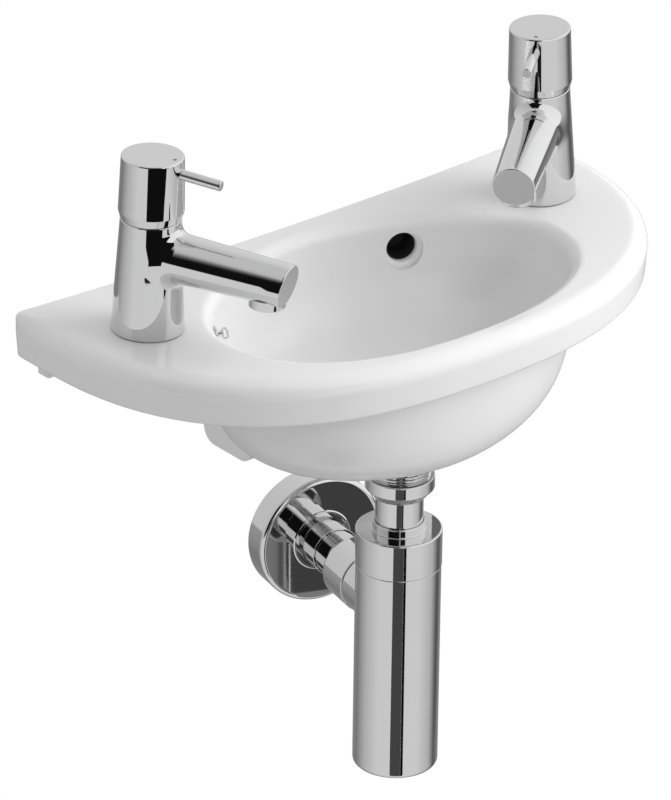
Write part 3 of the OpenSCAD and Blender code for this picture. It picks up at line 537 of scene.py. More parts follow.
def rim_outline(front, end, corner, back):
    """The rim in plan, counter-clockwise from the left end, with that many steps on each stretch"""
    t = np.radians(180 + 180 * np.arange(front + 1) / front)
    power = 2 / FRONT_CURVE
    depth = BASIN_D - END_FLAT
    x = half_w * np.sign(np.cos(t)) * np.abs(np.cos(t)) ** power
    y = -END_FLAT + depth * np.sign(np.sin(t)) * np.abs(np.sin(t)) ** power
    points = list(zip(x, y))
    straight = [-END_FLAT + (END_FLAT - BACK_CORNER) * i / end for i in range(1, end)]
    points += [(half_w, v) for v in straight]
    arc = [math.radians(90 * i / corner) for i in range(corner + 1)]
    points += [(half_w - BACK_CORNER * (1 - math.cos(a)), -BACK_CORNER * (1 - math.sin(a))) for a in arc]
    span = half_w - BACK_CORNER
    points += [(span - 2 * span * i / back, 0) for i in range(1, back)]
    points += [(-half_w + BACK_CORNER * (1 - math.sin(a)), -BACK_CORNER * (1 - math.cos(a))) for a in arc]
    points += [(-half_w, v) for v in reversed(straight)]
    return np.array(points)


outline = rim_outline(front=168, end=8, corner=8, back=72)
step = np.roll(outline, -1, axis=0) - np.roll(outline, 1, axis=0)
step /= np.linalg.norm(step, axis=1)[:, None]
rim_normal = np.stack([step[:, 1], -step[:, 0]], axis=1)
bowl_centre = np.array([0, -BOWL_Y])
polar = outline - bowl_centre
polar /= np.linalg.norm(polar, axis=1)[:, None]


def oval(towards, side, front, back, front_n, back_n):
    """Radius of an oval with its own front and back reach, in each of the directions"""
    reach = np.where(towards[:, 1] < 0, front, back)
    n = np.where(towards[:, 1] < 0, front_n, back_n)
    return ((np.abs(towards[:, 0]) / side) ** n + (np.abs(towards[:, 1]) / reach) ** n) ** (-1 / n)


open_side = BOWL_W / 2
open_front = BASIN_D - RIM_FRONT - BOWL_Y
open_back = BOWL_Y - RIM_BACK
opening = oval(polar, open_side, open_front, open_back, BOWL_FRONT_CURVE, BOWL_BACK_CURVE)


def section(w, n=BOWL_SECTION):
    """Section of the bowl's wall: the share of its full reach that is left at a share of its depth"""
    return max(0.0, 1 - w ** n) ** (1 / n)


def outer_reach(reach, offset):
    """Reach of the bowl's outer face under the rim: the bowl's own reach there and its wall"""
    share = section((RIM_H + 1 - LIP) / (BOWL_DEPTH - LIP))
    return SEAT_R + (reach - SEAT_R) * share + offset * (1 - share) + WALL


def shell_reach(towards):
    offset = WASTE_Y - BOWL_Y
    return oval(towards, outer_reach(open_side, 0), outer_reach(open_front, offset),
                outer_reach(open_back, -offset), SHELL_FRONT_CURVE, BOWL_BACK_CURVE)


shell = shell_reach(polar)
along_end = np.clip(1 + outline[:, 1] / END_FLAT, 0, 1)
edge_r = RIM_EDGE + (WALL_EDGE - RIM_EDGE) * along_end ** 2 * (3 - 2 * along_end)


def dish(x):
    return DECK_RISE * (x / half_w) ** 2


def raised(plan, depth):
    return np.column_stack([plan, deck_z + dish(plan[:, 0]) - depth])


def rim_ring(inset, depth):
    """The rim's outline drawn inwards: past the back corners' own radius the ring keeps square corners"""
    inset = np.broadcast_to(inset, len(outline))
    plan = outline - inset[:, None] * rim_normal
    plan[:, 0] = np.clip(plan[:, 0], inset - half_w, half_w - inset)
    plan[:, 1] = np.minimum(plan[:, 1], -inset)
    return raised(plan, depth)


def bowl_ring(radius, depth):
    return raised(bowl_centre + radius[:, None] * polar, depth)


def wall_ring(top_r, foot_r, top, foot, w, n=BOWL_SECTION):
    h = section(w, n)
    radius = foot_r + (top_r - foot_r) * h
    x = radius * polar[:, 0]
    y = -WASTE_Y + (WASTE_Y - BOWL_Y) * h + radius * polar[:, 1]
    return np.column_stack([x, y, deck_z + dish(x) * h - (top + (foot - top) * w)])


def angles(first, last, count):
    return np.radians(np.linspace(first, last, count))


def basin_rings():
    """All rings from the bowl's floor over the rim and down the underside"""
    rings = []
    for k in range(44):
        rings.append(wall_ring(opening, SEAT_R, LIP, BOWL_DEPTH, math.sin(math.pi / 2 * (1 - k / 43))))
    for a in angles(80, 0, 9):
        rings.append(bowl_ring(opening + LIP * (1 - math.sin(a)), LIP * (1 - math.cos(a))))
    inner = bowl_ring(opening + LIP, 0)
    outer = rim_ring(edge_r, 0)
    for t in np.linspace(0, 1, 14)[1:-1]:
        middle = inner + (outer - inner) * t
        rings.append(raised(middle[:, :2], 0))
    for a in angles(90, 0, 11):
        rings.append(rim_ring(edge_r * (1 - math.cos(a)), edge_r * (1 - math.sin(a))))
    draft, foot = 1.2, 2.5
    for depth in np.linspace(RIM_EDGE + 1, RIM_H - foot, 5):
        share = (depth - RIM_EDGE) / (RIM_H - foot - RIM_EDGE)
        rings.append(rim_ring(draft * share, depth))
    for a in angles(0, 90, 6)[1:]:
        rings.append(rim_ring(draft + foot * (1 - math.cos(a)), RIM_H - foot + foot * math.sin(a)))
    rings.append(rim_ring(SKIRT_T - 1.5, RIM_H))
    rings.append(rim_ring(SKIRT_T - 0.4, RIM_H - 0.4))
    rings.append(rim_ring(SKIRT_T, RIM_H - 1.5))
    gap = np.linalg.norm(outline - SKIRT_T * rim_normal - bowl_centre, axis=1) - shell
    hollow = np.clip((gap - HOLLOW_GAP) / HOLLOW_RAMP, 0, 1)
    ceiling = RIM_H + (DECK_T - RIM_H) * hollow + 0.2
    cove = ROOT_T * hollow
    for a in angles(0, 90, 5):
        rings.append(rim_ring(SKIRT_T + cove * (1 - math.cos(a)) + 0.3, ceiling + cove * (1 - math.sin(a))))
    start = rings[-1]
    end = bowl_ring(shell + cove + 1, ceiling)
    for t in np.linspace(0, 1, 9)[1:]:
        rings.append(start + (end - start) * t)
    for a in angles(0, 80, 5)[1:]:
        rings.append(bowl_ring(shell + cove * (1 - math.sin(a)) + 1, ceiling + cove * (1 - math.cos(a))))
    for k in range(28):
        w = math.sin(math.pi / 2 * k / 27)
        rings.append(wall_ring(shell, BOSS_R, RIM_H + 1, UNDERSIDE, w, SHELL_SECTION))
    return rings


def plate(name, points, thickness):
    """Flat outline in plan, in millimetres, drawn up to a thickness"""
    piece = add_piece(name, bpy.ops.mesh.primitive_circle_add, vertices=len(points), fill_type="NGON")
    for vertex, (x, y) in zip(piece.data.vertices, points):
        vertex.co = (x * MM, y * MM, 0)
    edit_all(piece)
    bpy.ops.mesh.extrude_region_move(TRANSFORM_OT_translate={"value": (0, 0, thickness * MM)})
    leave_edit()
    face_outwards(piece)
    return piece


def block_piece(name, low, high, edge):
    """Box between two corners in millimetres, with its edges rounded"""
    middle = [(a + b) / 2 * MM for a, b in zip(low, high)]
    piece = add_piece(name, bpy.ops.mesh.primitive_cube_add, size=MM, location=middle)
    piece.scale = [b - a for a, b in zip(low, high)]
    bpy.ops.object.transform_apply(location=True, rotation=True, scale=True)
    apply_modifier(piece, "BEVEL", width=edge * MM, segments=4)
    return piece


def make_shell():
    """The basin's main surface: a circle drawn up in equal steps, then each vertex set on its place"""
    rings = np.array(basin_rings())
    levels, stations = rings.shape[:2]
    piece = add_piece("basin_shell", bpy.ops.mesh.primitive_circle_add, vertices=stations, fill_type="NOTHING")
    apply_modifier(piece, "SCREW", angle=0, screw_offset=levels - 1, steps=levels - 1,
                   render_steps=levels - 1, use_smooth_shade=False)
    place = np.empty(len(piece.data.vertices) * 3)
    piece.data.vertices.foreach_get("co", place)
    place = place.reshape(-1, 3)
    level = np.rint(place[:, 2]).astype(int)
    station = np.rint(np.arctan2(place[:, 1], place[:, 0]) / (2 * math.pi) * stations).astype(int) % stations
    piece.data.vertices.foreach_set("co", (rings[level, station] * MM).ravel())
    edit_all(piece)
    bpy.ops.mesh.fill_holes(sides=0)
    leave_edit()
    face_outwards(piece)
    return piece


def back_wall_y(x):
    return -BOWL_Y + open_back * (1 - (abs(x) / open_side) ** BOWL_BACK_CURVE) ** (1 / BOWL_BACK_CURVE)


def wall_place(x, drop):
    """Place on the bowl's back wall, in plan: under the lip's point at x, at a depth below the deck"""
    top = np.array([x, back_wall_y(x)]) - bowl_centre
    reach = np.linalg.norm(top)
    share = section((drop - LIP) / (BOWL_DEPTH - LIP))
    place = bowl_centre + top / reach * (SEAT_R + (reach - SEAT_R) * share)
    return place - np.array([0, (WASTE_Y - BOWL_Y) * (1 - share)])


duct_z = floor_z - (UNDERSIDE - BOWL_DEPTH - RECESS) / 2
riser_x = OVERFLOW_X + (RISER_Y - back_wall_y(OVERFLOW_X)) * math.tan(math.radians(OVERFLOW_TURN))


def wall_middle(w):
    """Side view of the middle of the bowl's back wall, at a share of its depth"""
    h = section(w)
    foot = -WASTE_Y + SEAT_R
    top = -BOWL_Y + open_back + WALL / 2
    return foot + (top - foot) * h, deck_z - LIP - (BOWL_DEPTH + WALL - LIP) * w


def make_block():
    """Block behind the bowl: its front follows the inside of the bowl's back wall"""
    top = deck_z - DECK_T - 2
    low = deck_z - BLOCK_DROP
    side = [(0, top)]
    for a in angles(0, 90, 9):
        side.append((-BLOCK_EDGE * (1 - math.cos(a)), low + BLOCK_EDGE * (1 - math.sin(a))))
    for a in angles(90, 0, 9):
        side.append((-BLOCK_D + BLOCK_EDGE * (1 - math.cos(a)), low + BLOCK_EDGE * (1 - math.sin(a))))
    for w in np.linspace(1, 0.1, 12):
        point = wall_middle(w)
        if point[0] > -BLOCK_D and point[1] < top - 1:
            side.append(point)
    side.append((wall_middle(0.05)[0], top))
    block = plate("block", side, BLOCK_LEFT + BLOCK_RIGHT)
    weight = block.data.attributes.new("bevel_weight_edge", "FLOAT", "EDGE")
    for edge in block.data.edges:
        a, b = [block.data.vertices[v].co for v in edge.vertices]
        if abs(a.z - b.z) < 1e-6 and max(a.y, b.y) < (low + BLOCK_SIDE_H) * MM and min(a.x, b.x) < -0.5 * MM:
            weight.data[edge.index].value = 1
    apply_modifier(block, "BEVEL", width=BLOCK_SIDE_EDGE * MM, segments=4, limit_method="WEIGHT")
    return put(block, shift(-BLOCK_LEFT) @ Matrix(((0, 0, 1), (1, 0, 0), (0, 1, 0))).to_4x4())


def make_riser_housing():
    """Housing of the overflow's riser, behind the bowl's wall"""
    in_x = riser_x - RISER_D / 2 - HOUSING_WALL
    out_x = BLOCK_RIGHT - 0.05
    low = duct_z - RISER_D
    corners = [(out_x, -1), (in_x, -1), (in_x, back_wall_y(in_x) + HOUSING_COVER),
               (out_x, back_wall_y(BLOCK_RIGHT) + HOUSING_COVER + 1)]
    return put(plate("riser_housing", corners, deck_z - DECK_T + 1 - low), shift(z=low))


def tap_frame(side, turned_to_spout=True):
    """The tap's own frame: foot on the deck, square to the deck's slope, +X along the spout"""
    x = TAP_SPACING / 2
    lean = math.atan(2 * DECK_RISE * x / half_w ** 2)
    turn = (-LEFT_TURN if side < 0 else 180 + RIGHT_TURN) if turned_to_spout else 0
    foot = Matrix.Translation(Vector((side * x, -TAP_Y, deck_z + dish(x) - TAP_SINK)) * MM)
    return foot @ Matrix.Rotation(-side * lean, 4, "Y") @ swing("Z", turn)


# Cutters for the basin's holes

def tap_hole(side):
    seat_r, foot_r = TAIL_SEAT_D / 2, FOOT_D / 2 - 0.5
    hole = turned("tap_hole", [(seat_r, -DECK_T - 12), (seat_r, 0.5 - DECK_T), (TAP_HOLE / 2, 0.5 - DECK_T),
                               (TAP_HOLE / 2, 0), (foot_r, 0), (foot_r, 2)])
    return put(hole, tap_frame(side, False))


def fixing_hole(side):
    hole = turned("fixing_hole", [(FIX_HOLE / 2, 1), (FIX_HOLE / 2, -PANEL_T - 1)], segments=48)
    return put(hole, shift(side * FIX_SPACING / 2) @ swing("X", -90))


def waste_hole():
    """Recess for the backnut, hole, and seat for the waste's flange"""
    under_z = deck_z - UNDERSIDE
    seat_r = WASTE_FLANGE_D / 2 + 0.5
    hole = turned("waste_hole", [
        (RECESS_D / 2, under_z - 1), (RECESS_D / 2, under_z + RECESS), (WASTE_HOLE / 2, under_z + RECESS),
        (WASTE_HOLE / 2, floor_z - SEAT_SINK), (seat_r, floor_z - SEAT_SINK), (seat_r, floor_z - 0.8),
        (seat_r + 0.8, floor_z), (seat_r + 0.8, floor_z + 7)])
    return put(hole, waste_frame)


def stay_hole():
    flange_r, washer_r = STAY_FLANGE_D / 2 + 0.5, STAY_WASHER_D / 2 + 1
    hole = turned("stay_hole", [(flange_r, -8), (flange_r, 0), (STAY_HOLE / 2, 0), (STAY_HOLE / 2, stay_back),
                                (washer_r, stay_back), (washer_r, 16)], segments=48)
    return put(hole, stay_frame)


def glaze(piece):
    """Gives a piece the glaze, and as its second finish the near-black painted shade of the overflow channel"""
    piece.data.materials.clear()
    piece.data.materials.append(GLAZE)
    piece.data.materials.append(CHANNEL_SHADE)


def overflow_hole():
    """Hole towards the riser: its edge starts to round a little way inside the wall's face"""
    turn = math.radians(OVERFLOW_TURN)
    from_riser = np.array([riser_x, RISER_Y]) - wall_place(OVERFLOW_X, OVERFLOW_DROP)
    surface = float(from_riser @ [math.sin(turn), math.cos(turn)]) - OVERFLOW_ROUND
    r, dark = OVERFLOW_D / 2, surface - OVERFLOW_SHADE_DEPTH
    hole = turned("overflow_hole", [
        (r, -8.5), (r, dark), (r, surface - 2.2), (r + 0.15, surface - 1.4), (r + 0.5, surface - 0.6),
        (r + 1.2, surface), (r + 2.4, surface + 0.6), (r + 4, surface + 1), (r + 4, surface + 8)])
    glaze(hole)
    # Faces deeper than that get the painted shade, which stands in for the shade inside the hole
    for face in hole.data.polygons:
        if face.center.z < dark * MM + 1e-6:
            face.material_index = 1
    aim = swing("Z", -OVERFLOW_TURN) @ swing("X", 90)
    return put(hole, Matrix.Translation(Vector((riser_x, RISER_Y, deck_z - OVERFLOW_DROP)) * MM) @ aim)


def make_basin():
    """Ceramic basin: shell, panel and block grown together, then every hole taken out at once"""
    basin = make_shell()
    panel = block_piece("panel", (-PANEL_W / 2, -PANEL_T, deck_z - PANEL_DROP),
                        (PANEL_W / 2, 0, deck_z - DECK_T / 2), 2)
    grow(panel, make_block())
    grow(panel, make_riser_housing())
    grow(basin, panel)
    holes = []
    for side in (-1, 1):
        holes += [tap_hole(side), fixing_hole(side)]
    holes = join(*holes, waste_hole(), stay_hole(), overflow_hole())
    glaze(basin)
    cut(basin, holes, material_mode="TRANSFER")
    basin.name = "ceramic_basin"
    smooth(basin, 35)
    return basin


def thread(low, high, root, crest, pitch):
    """Profile of a thread, as rings of one pitch"""
    turn = ((root, 0.1), (crest, 0.45), (crest, 0.6), (root, 0.95))
    return [(r, low + k * pitch + share * pitch) for k in range(int((high - low) / pitch)) for r, share in turn]


spout_fall, spout_lean = math.radians(SPOUT_FALL), math.radians(SPOUT_CUT)
# Height of the upper edge of the spout's slanted end, and the cone's length before it is cut there
spout_end_z = SPOUT_H - SPOUT_REACH * math.tan(spout_fall) + SPOUT_END_D / 2
spout_length = SPOUT_REACH + 6


def rounded_both(a, b, r):
    """Distance to what two solids share, with its edge rounded to a radius"""
    inner = np.minimum(np.maximum(a, b) + r, 0)
    return inner + np.hypot(np.maximum(a + r, 0), np.maximum(b + r, 0)) - r


def blend_distance(p):
    """Signed distance to the tap's body, in its own frame in millimetres: pillar and spout with a soft blend"""
    x, y, z = p[:, 0], p[:, 1], p[:, 2]
    # Pillar: a cone between the foot and the seam
    taper = (FOOT_D - NECK_D) / 2 / (SEAM_H - FOOT_SEAL)
    pillar = (np.hypot(x, y) - (FOOT_D / 2 - taper * (z - FOOT_SEAL))) / math.sqrt(1 + taper ** 2)
    floor_and_top = np.abs(z - (SEAM_H + FOOT_SEAL) / 2) - (SEAM_H - FOOT_SEAL) / 2
    pillar = rounded_both(pillar, floor_and_top, PILLAR_EDGE)
    # Spout: a cone round its own falling axis, with a slanted end face
    along = x * math.cos(spout_fall) - (z - SPOUT_H) * math.sin(spout_fall)
    off = x * math.sin(spout_fall) + (z - SPOUT_H) * math.cos(spout_fall)
    taper = (SPOUT_ROOT_D - SPOUT_END_D) / 2 / spout_length
    spout = (np.hypot(y, off) - (SPOUT_ROOT_D / 2 - taper * along)) / math.sqrt(1 + taper ** 2)
    end = (x - SPOUT_REACH) * math.cos(spout_lean) - (z - spout_end_z) * math.sin(spout_lean)
    spout = rounded_both(rounded_both(spout, end, SPOUT_EDGE), -x, 1)
    h = np.clip(0.5 + 0.5 * (spout - pillar) / ROOT_BLEND, 0, 1)
    return spout + (pillar - spout) * h - ROOT_BLEND * h * (1 - h)


def blend_slope(p, reach=0.002):
    """Direction of steepest rise of the distance, by central differences"""
    slope = np.empty_like(p)
    for axis in range(3):
        step = np.zeros(3)
        step[axis] = reach
        slope[:, axis] = (blend_distance(p + step) - blend_distance(p - step)) / (2 * reach)
    return slope / np.linalg.norm(slope, axis=1)[:, None]


def make_tap_body():
    """Tap body in its own frame: pillar and spout joined, remeshed fine and drawn onto the soft blend"""
    pillar = turned("tap_body", [(FOOT_D / 2, FOOT_SEAL), (NECK_D / 2, SEAM_H)])
    spout = turned("spout", [(SPOUT_ROOT_D / 2, 0), (SPOUT_END_D / 2, spout_length)])
    put(spout, shift(z=SPOUT_H) @ swing("Y", 90 + SPOUT_FALL))
    edit_all(spout)
    bpy.ops.mesh.bisect(
        plane_co=(SPOUT_REACH * MM, 0, spout_end_z * MM), clear_outer=True, use_fill=True,
        plane_no=(math.cos(spout_lean), 0, -math.sin(spout_lean)))
    leave_edit()
    cut(pillar, spout, "UNION")
    apply_modifier(pillar, "REMESH", mode="VOXEL", voxel_size=TAP_VOXEL * MM, adaptivity=0)
    place = np.empty(len(pillar.data.vertices) * 3)
    pillar.data.vertices.foreach_get("co", place)
    place = place.reshape(-1, 3) / MM
    for _ in range(6):
        place -= blend_slope(place) * blend_distance(place)[:, None]
    pillar.data.vertices.foreach_set("co", (place * MM).ravel())
    pillar.data.update()
    for face in pillar.data.polygons:
        face.use_smooth = True
    pillar.data.normals_split_custom_set_from_vertices(blend_slope(place))
    return pillar


def make_tap(side, body_shape):
    """One tap: body with its tail, aerator, handle and lever; the inner pieces stay as the frame has them"""
    word = "left" if side < 0 else "right"
    spout_frame = tap_frame(side)
    body = body_shape.copy()
    body.data = body_shape.data.copy()
    bpy.context.collection.objects.link(body)
    body.name = "pillar_tap_" + word
    dress(body, spout_frame, "chrome", "root", "tap_body_" + word)
    r, bore = TAIL_D / 2, TAIL_BORE / 2
    tail = turned("tap_tail_" + word, [
        (bore, -TAIL_L), (r - 1.6, -TAIL_L), *thread(-TAIL_L + 0.4, -2, r - 1, r, TAIL_PITCH),
        (r - 1, -1.2), (r - 1, 1.5), (bore, 1.5)], ring=True, segments=64)
    dress(tail, spout_frame, "chrome", "root", "tap_body_" + word)
    r, bore = AERATOR_D / 2, AERATOR_D / 2 - AERATOR_WALL
    ring = turned("aerator_ring_" + word, [
        (bore, AERATOR_LOW + 4), (bore, AERATOR_LOW + 0.5), (r - 1.8, AERATOR_LOW), (r - 0.7, AERATOR_LOW),
        (r, AERATOR_LOW + 0.7), (r, AERATOR_TOP), (bore, AERATOR_TOP)], ring=True)
    dress(ring, spout_frame @ shift(AERATOR_REACH), "chrome", "root", "aerator_housing_" + word)
    low = SEAM_H + RUN_GAP
    inner = NECK_D / 2 - HANDLE_WALL
    handle = turned("lever_handle_" + word, rounded([
        (inner, TAP_H - 4), (inner, low), (NECK_D / 2, low, 0.4), (HANDLE_D / 2, low + HANDLE_EDGE, 0.9),
        (HANDLE_TOP_D / 2, TAP_H, 1.1), (2, TAP_H), (0.02, TAP_H), (0.02, TAP_H - 4)]), ring=True, segments=128)
    dress(handle, spout_frame, "chrome", "handle_" + word, "handle_" + word)
    r = LEVER_D / 2
    lever = turned("lever_rod_" + word, rounded([
        (0.02, LEVER_ROOT), (r, LEVER_ROOT), (r, LEVER_REACH, 0.8), (0.02, LEVER_REACH)]), segments=64)
    aim = shift(z=LEVER_H) @ swing("Y", 90 + LEVER_FALL)
    dress(lever, spout_frame @ aim, "chrome", "handle_" + word, "lever_" + word)


def grid_hole(r, top):
    profile = [(r, top - 8), (r, top - 2.6), (r + 0.7, top - 1.9), (r + 0.7, top)]
    return turned("grid_hole", profile, segments=32)


def make_waste():
    """Waste: dished flange with a grid of holes, threaded tail with slots for the overflow"""
    top = floor_z + 0.5
    low = deck_z - WASTE_END
    seat = floor_z - SEAT_SINK + SEAL_T
    r, bore, rim_r, grid_r = WASTE_D / 2, WASTE_BORE / 2, WASTE_FLANGE_D / 2, GRID_D / 2
    waste = turned("slotted_waste", [
        (bore, top - 4), (bore, low), (r - 0.8, low), *thread(low + 0.3, seat - 16, r - 0.9, r, WASTE_PITCH),
        (r - 0.4, seat - 15.5), (r - 0.4, seat), (rim_r - 1.5, seat), (rim_r - 0.3, top - 0.6),
        (rim_r - 0.7, top - 0.1), (rim_r - 1.4, top), (rim_r - 4, top), (rim_r - 6, top - 0.3),
        (grid_r + 3.5, top - 1.6), (grid_r + 1, top - 2.3), (grid_r, top - 2.5), (0.05, top - 2.5),
        (0.05, top - 4)], ring=True)
    grid = [grid_hole(GRID_MIDDLE_D / 2, top)]
    for k in range(6):
        grid.append(put(grid_hole(GRID_HOLE_D / 2, top), swing("Z", 60 * k) @ shift(GRID_RING_R)))
    cut(waste, join(*grid))
    for turn in (45, 135):
        slot = block_piece("slot", (-WASTE_D, -SLOT_W / 2, duct_z - SLOT_H / 2),
                           (WASTE_D, SLOT_W / 2, duct_z + SLOT_H / 2), 1.5)
        cut(waste, put(slot, swing("Z", turn)))
    smooth(waste)
    dress(waste, waste_frame, "chrome", "root", "waste_body")


def make_stay():
    """Chain stay: flange and stem with an upright eye, on a threaded tail"""
    r, flange_r = STAY_TAIL_R, STAY_FLANGE_D / 2
    stem = turned("chain_stay_stem", [
        (r, -STAY_TAIL), (r, 0), (flange_r, 0), (flange_r, 0.6), (flange_r - 0.5, 1), (3.4, 1.3), (2.4, 2),
        (1.9, 3), (1.8, STAY_EYE - 2), (1.6, STAY_EYE - 1.2), (0.8, STAY_EYE - 0.8)], segments=48)
    eye = add_piece("eye", bpy.ops.mesh.primitive_torus_add, rotation=(math.pi / 2, 0, 0), major_segments=48,
                    minor_segments=16, major_radius=STAY_EYE_R * MM, minor_radius=STAY_WIRE_R * MM)
    bpy.ops.object.transform_apply(rotation=True)
    for vertex in eye.data.vertices:
        vertex.co.x += STAY_EYE_DRAW * MM * max(-1, min(1, vertex.co.x / (0.5 * MM)))
        vertex.co.z += STAY_EYE * MM
    smooth(eye)
    stay = join(stem, eye)
    stay.name = "plug_chain_stay"
    dress(stay, stay_frame @ swing("X", 180), "chrome", "root", "chain_stay")


def make_inlet():
    """Nut and tube between the waste and the trap"""
    top = deck_z - WASTE_END + NUT_GRIP
    flange = deck_z - WASTE_END - SEAL_T - TUBE_FLANGE_T
    low = flange - NUT_BELOW
    r, tube_r, waste_r = INLET_NUT_D / 2, TUBE_D / 2, WASTE_D / 2 + 0.2
    nut = turned("waste_coupling_nut", rounded([
        (tube_r + 0.2, low + 2), (tube_r + 0.2, low), (tube_r + 1.8, low, 0.3), (tube_r + 3, low + 1.6, 0.8),
        (r, low + 6.4, 0.8), (r, top, 0.7), (waste_r, top), (waste_r, top - 3)]), ring=True)
    dress(nut, waste_frame, "chrome", "root", "inlet_nut")
    end = seam_z - BOTTLE_H + DIP_RISE
    rim_r, bore, top = TUBE_FLANGE_D / 2, tube_r - TUBE_WALL, flange + TUBE_FLANGE_T
    tube = turned("trap_inlet_tube", [
        (tube_r, end), (tube_r, flange), (rim_r, flange), (rim_r, top), (bore, top), (bore, end)], ring=True)
    dress(tube, waste_frame, "chrome", "root", "inlet_tube")


def make_cap():
    """Cap of the trap with its collar round the inlet tube"""
    r, collar = CAP_D / 2, COLLAR_D / 2
    bore = TUBE_D / 2 + RUN_GAP
    inner = r - CAP_WALL
    ceiling = NECK_H + CAP_SEAL_T + 2 * RUN_GAP
    cap = turned("trap_screw_cap", rounded([
        (bore, ceiling + 1), (bore, ceiling), (inner, ceiling), (inner, RUN_GAP), (r, RUN_GAP, 0.35),
        (r, CAP_H, 1.1), (collar, CAP_H, 0.6), (collar, CAP_H + COLLAR_H, 0.7), (bore, CAP_H + COLLAR_H),
        (bore, CAP_H + 1)]), ring=True, segments=128)
    dress(cap, trap_frame, "chrome", "cap", "trap_cap")


def make_bottle():
    """Bottle of the trap with the boss that carries the outlet"""
    r, neck = BOTTLE_D / 2, CAP_D / 2 - CAP_WALL - 2 * RUN_GAP
    floor = -BOTTLE_H + BOTTLE_FLOOR
    # Close rings where the boss meets the bottle
    close = [(r, z) for z in np.linspace(-OUTLET_DROP - 26, -OUTLET_DROP + 26, 27)]
    profile = rounded([(0.02, floor), (0.02, -BOTTLE_H), (r, -BOTTLE_H, 3.2), (r, -OUTLET_DROP - 40)])
    profile += close + rounded([
        (r, -4), (r, 0, 0.4), (neck, 0), (neck, NECK_H), (neck - 3, NECK_H), (neck - 3, -3),
        (r - BOTTLE_WALL, -3), (r - BOTTLE_WALL, floor)])
    bottle = turned("trap_bottle", profile, ring=True, segments=128)
    boss_r, socket_r = BOSS_D / 2, SOCKET_D / 2
    end, socket_end = OUTLET_NUT_X - 0.2, OUTLET_NUT_X + SOCKET_DEPTH
    close = [(boss_r, x) for x in np.linspace(14, 38, 13)]
    boss = turned("boss", [(boss_r, 12), *close, *rounded([
        (boss_r, 38.2), (boss_r, end, 0.4), (socket_r, end), (socket_r, socket_end),
        (socket_r - 1, socket_end)])[1:]])
    to_outlet = shift(z=-OUTLET_DROP) @ swing("Y", 90)
    cut(bottle, put(boss, to_outlet), "UNION")
    hole = turned("way_out", [(TUBE_D / 2 + 0.2, 8), (TUBE_D / 2 + 0.2, 60)], segments=64)
    cut(bottle, put(hole, to_outlet))
    smooth(bottle, 25)
    dress(bottle, trap_frame, "chrome", "trap", "bottle")


def make_outlet():
    """Nut and pipe of the outlet"""
    r, socket_r, pipe_r = OUTLET_NUT_D / 2, SOCKET_D / 2 + 0.2, TUBE_D / 2
    length = OUTLET_NUT_L
    nut = turned("outlet_coupling_nut", rounded([
        (socket_r, 1), (socket_r, 0), (r, 0, 0.5), (r, length, 1.4), (pipe_r + 0.2, length),
        (pipe_r + 0.2, length - 4), (socket_r, length - 4), (socket_r, 4)]), ring=True)
    dress(nut, outlet_frame @ shift(z=OUTLET_NUT_X), "chrome", "trap", "outlet_nut")
    # The pipe has a shallow step at the wall's face
    start, wall, end, bore = OUTLET_NUT_X - 6, wall_reach, wall_reach + PIPE_TAIL, pipe_r - TUBE_WALL
    pipe = turned("outlet_waste_pipe", [
        (pipe_r, start), (pipe_r, wall), (pipe_r - 0.3, wall), (pipe_r - 0.3, wall + 1), (pipe_r, wall + 1),
        (pipe_r, end - 0.3), (pipe_r - 0.3, end), (bore, end), (bore, start)], ring=True)
    dress(pipe, outlet_frame, "chrome", "trap", "outlet_pipe")


def make_flange():
    """Flange against the wall, with its sleeve along the pipe"""
    r, ring, bore = FLANGE_D / 2, FLANGE_RING_D / 2, TUBE_D / 2 + RUN_GAP
    flange = turned("wall_rose", rounded([
        (bore, 0), (bore, -SLEEVE_L), (bore + 0.9, -SLEEVE_L, 0.3), (bore + 0.9, 2.5), (ring - 1, 2.5),
        (ring - 1, -0.6, 0.3), (ring + 0.1, -0.6, 0.4), (ring + 0.8, 0.05), (r, 0, 3.2), (r, FLANGE_T, 0.5),
        (r - 2, FLANGE_T), (r - 2, 5), (ring, 4.5), (bore + 3, 4.5), (bore + 3, 10.5), (bore + 1.6, 10.5),
        (bore + 1.6, 4.5), (bore, 4.5), (bore, 2)]), ring=True, segments=128)
    dress(flange, outlet_frame @ shift(z=wall_reach - FLANGE_T), "chrome", "flange", "wall_flange")


seam_z = deck_z - CAP_DROP - CAP_H
wall_reach = WASTE_Y / math.cos(math.radians(TRAP_TURN)) - 1.5
waste_frame = shift(y=-WASTE_Y)
trap_frame = shift(y=-WASTE_Y, z=seam_z) @ swing("Z", 90 - TRAP_TURN)
outlet_frame = trap_frame @ shift(z=-OUTLET_DROP) @ swing("Y", 90)
stay_place = wall_place(STAY_X, STAY_DROP)
stay_frame = (Matrix.Translation(Vector((*stay_place, deck_z - STAY_DROP)) * MM)
              @ swing("Z", STAY_TURN) @ swing("Y", 90 + STAY_TILT))
# Where the washer sits behind the wall, along the stay
towards_stay = np.array([STAY_X, back_wall_y(STAY_X)]) - bowl_centre
stay_reach = np.linalg.norm(towards_stay)
towards_stay /= stay_reach
inner_face = SEAT_R + (stay_reach - SEAT_R) * section((STAY_DROP - LIP) / (BOWL_DEPTH - LIP))
outer_face = shell_reach(towards_stay[None])[0] + ROOT_T * (RIM_H + 1 - STAY_DROP) / (RIM_H + 1 - DECK_T)
stay_way = np.array([math.cos(math.radians(STAY_TURN)), math.sin(math.radians(STAY_TURN))])
stay_back = float((outer_face - inner_face) * (towards_stay @ stay_way)) - STAY_BACK_SINK

basin = make_basin()
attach(basin, "root")
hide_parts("basin")
make_waste()
make_stay()
make_inlet()
make_cap()
make_bottle()
make_outlet()
make_flange()
tap_shape = make_tap_body()
for tap_side in (-1, 1):
    make_tap(tap_side, tap_shape)
bpy.data.objects.remove(tap_shape, do_unlink=True)


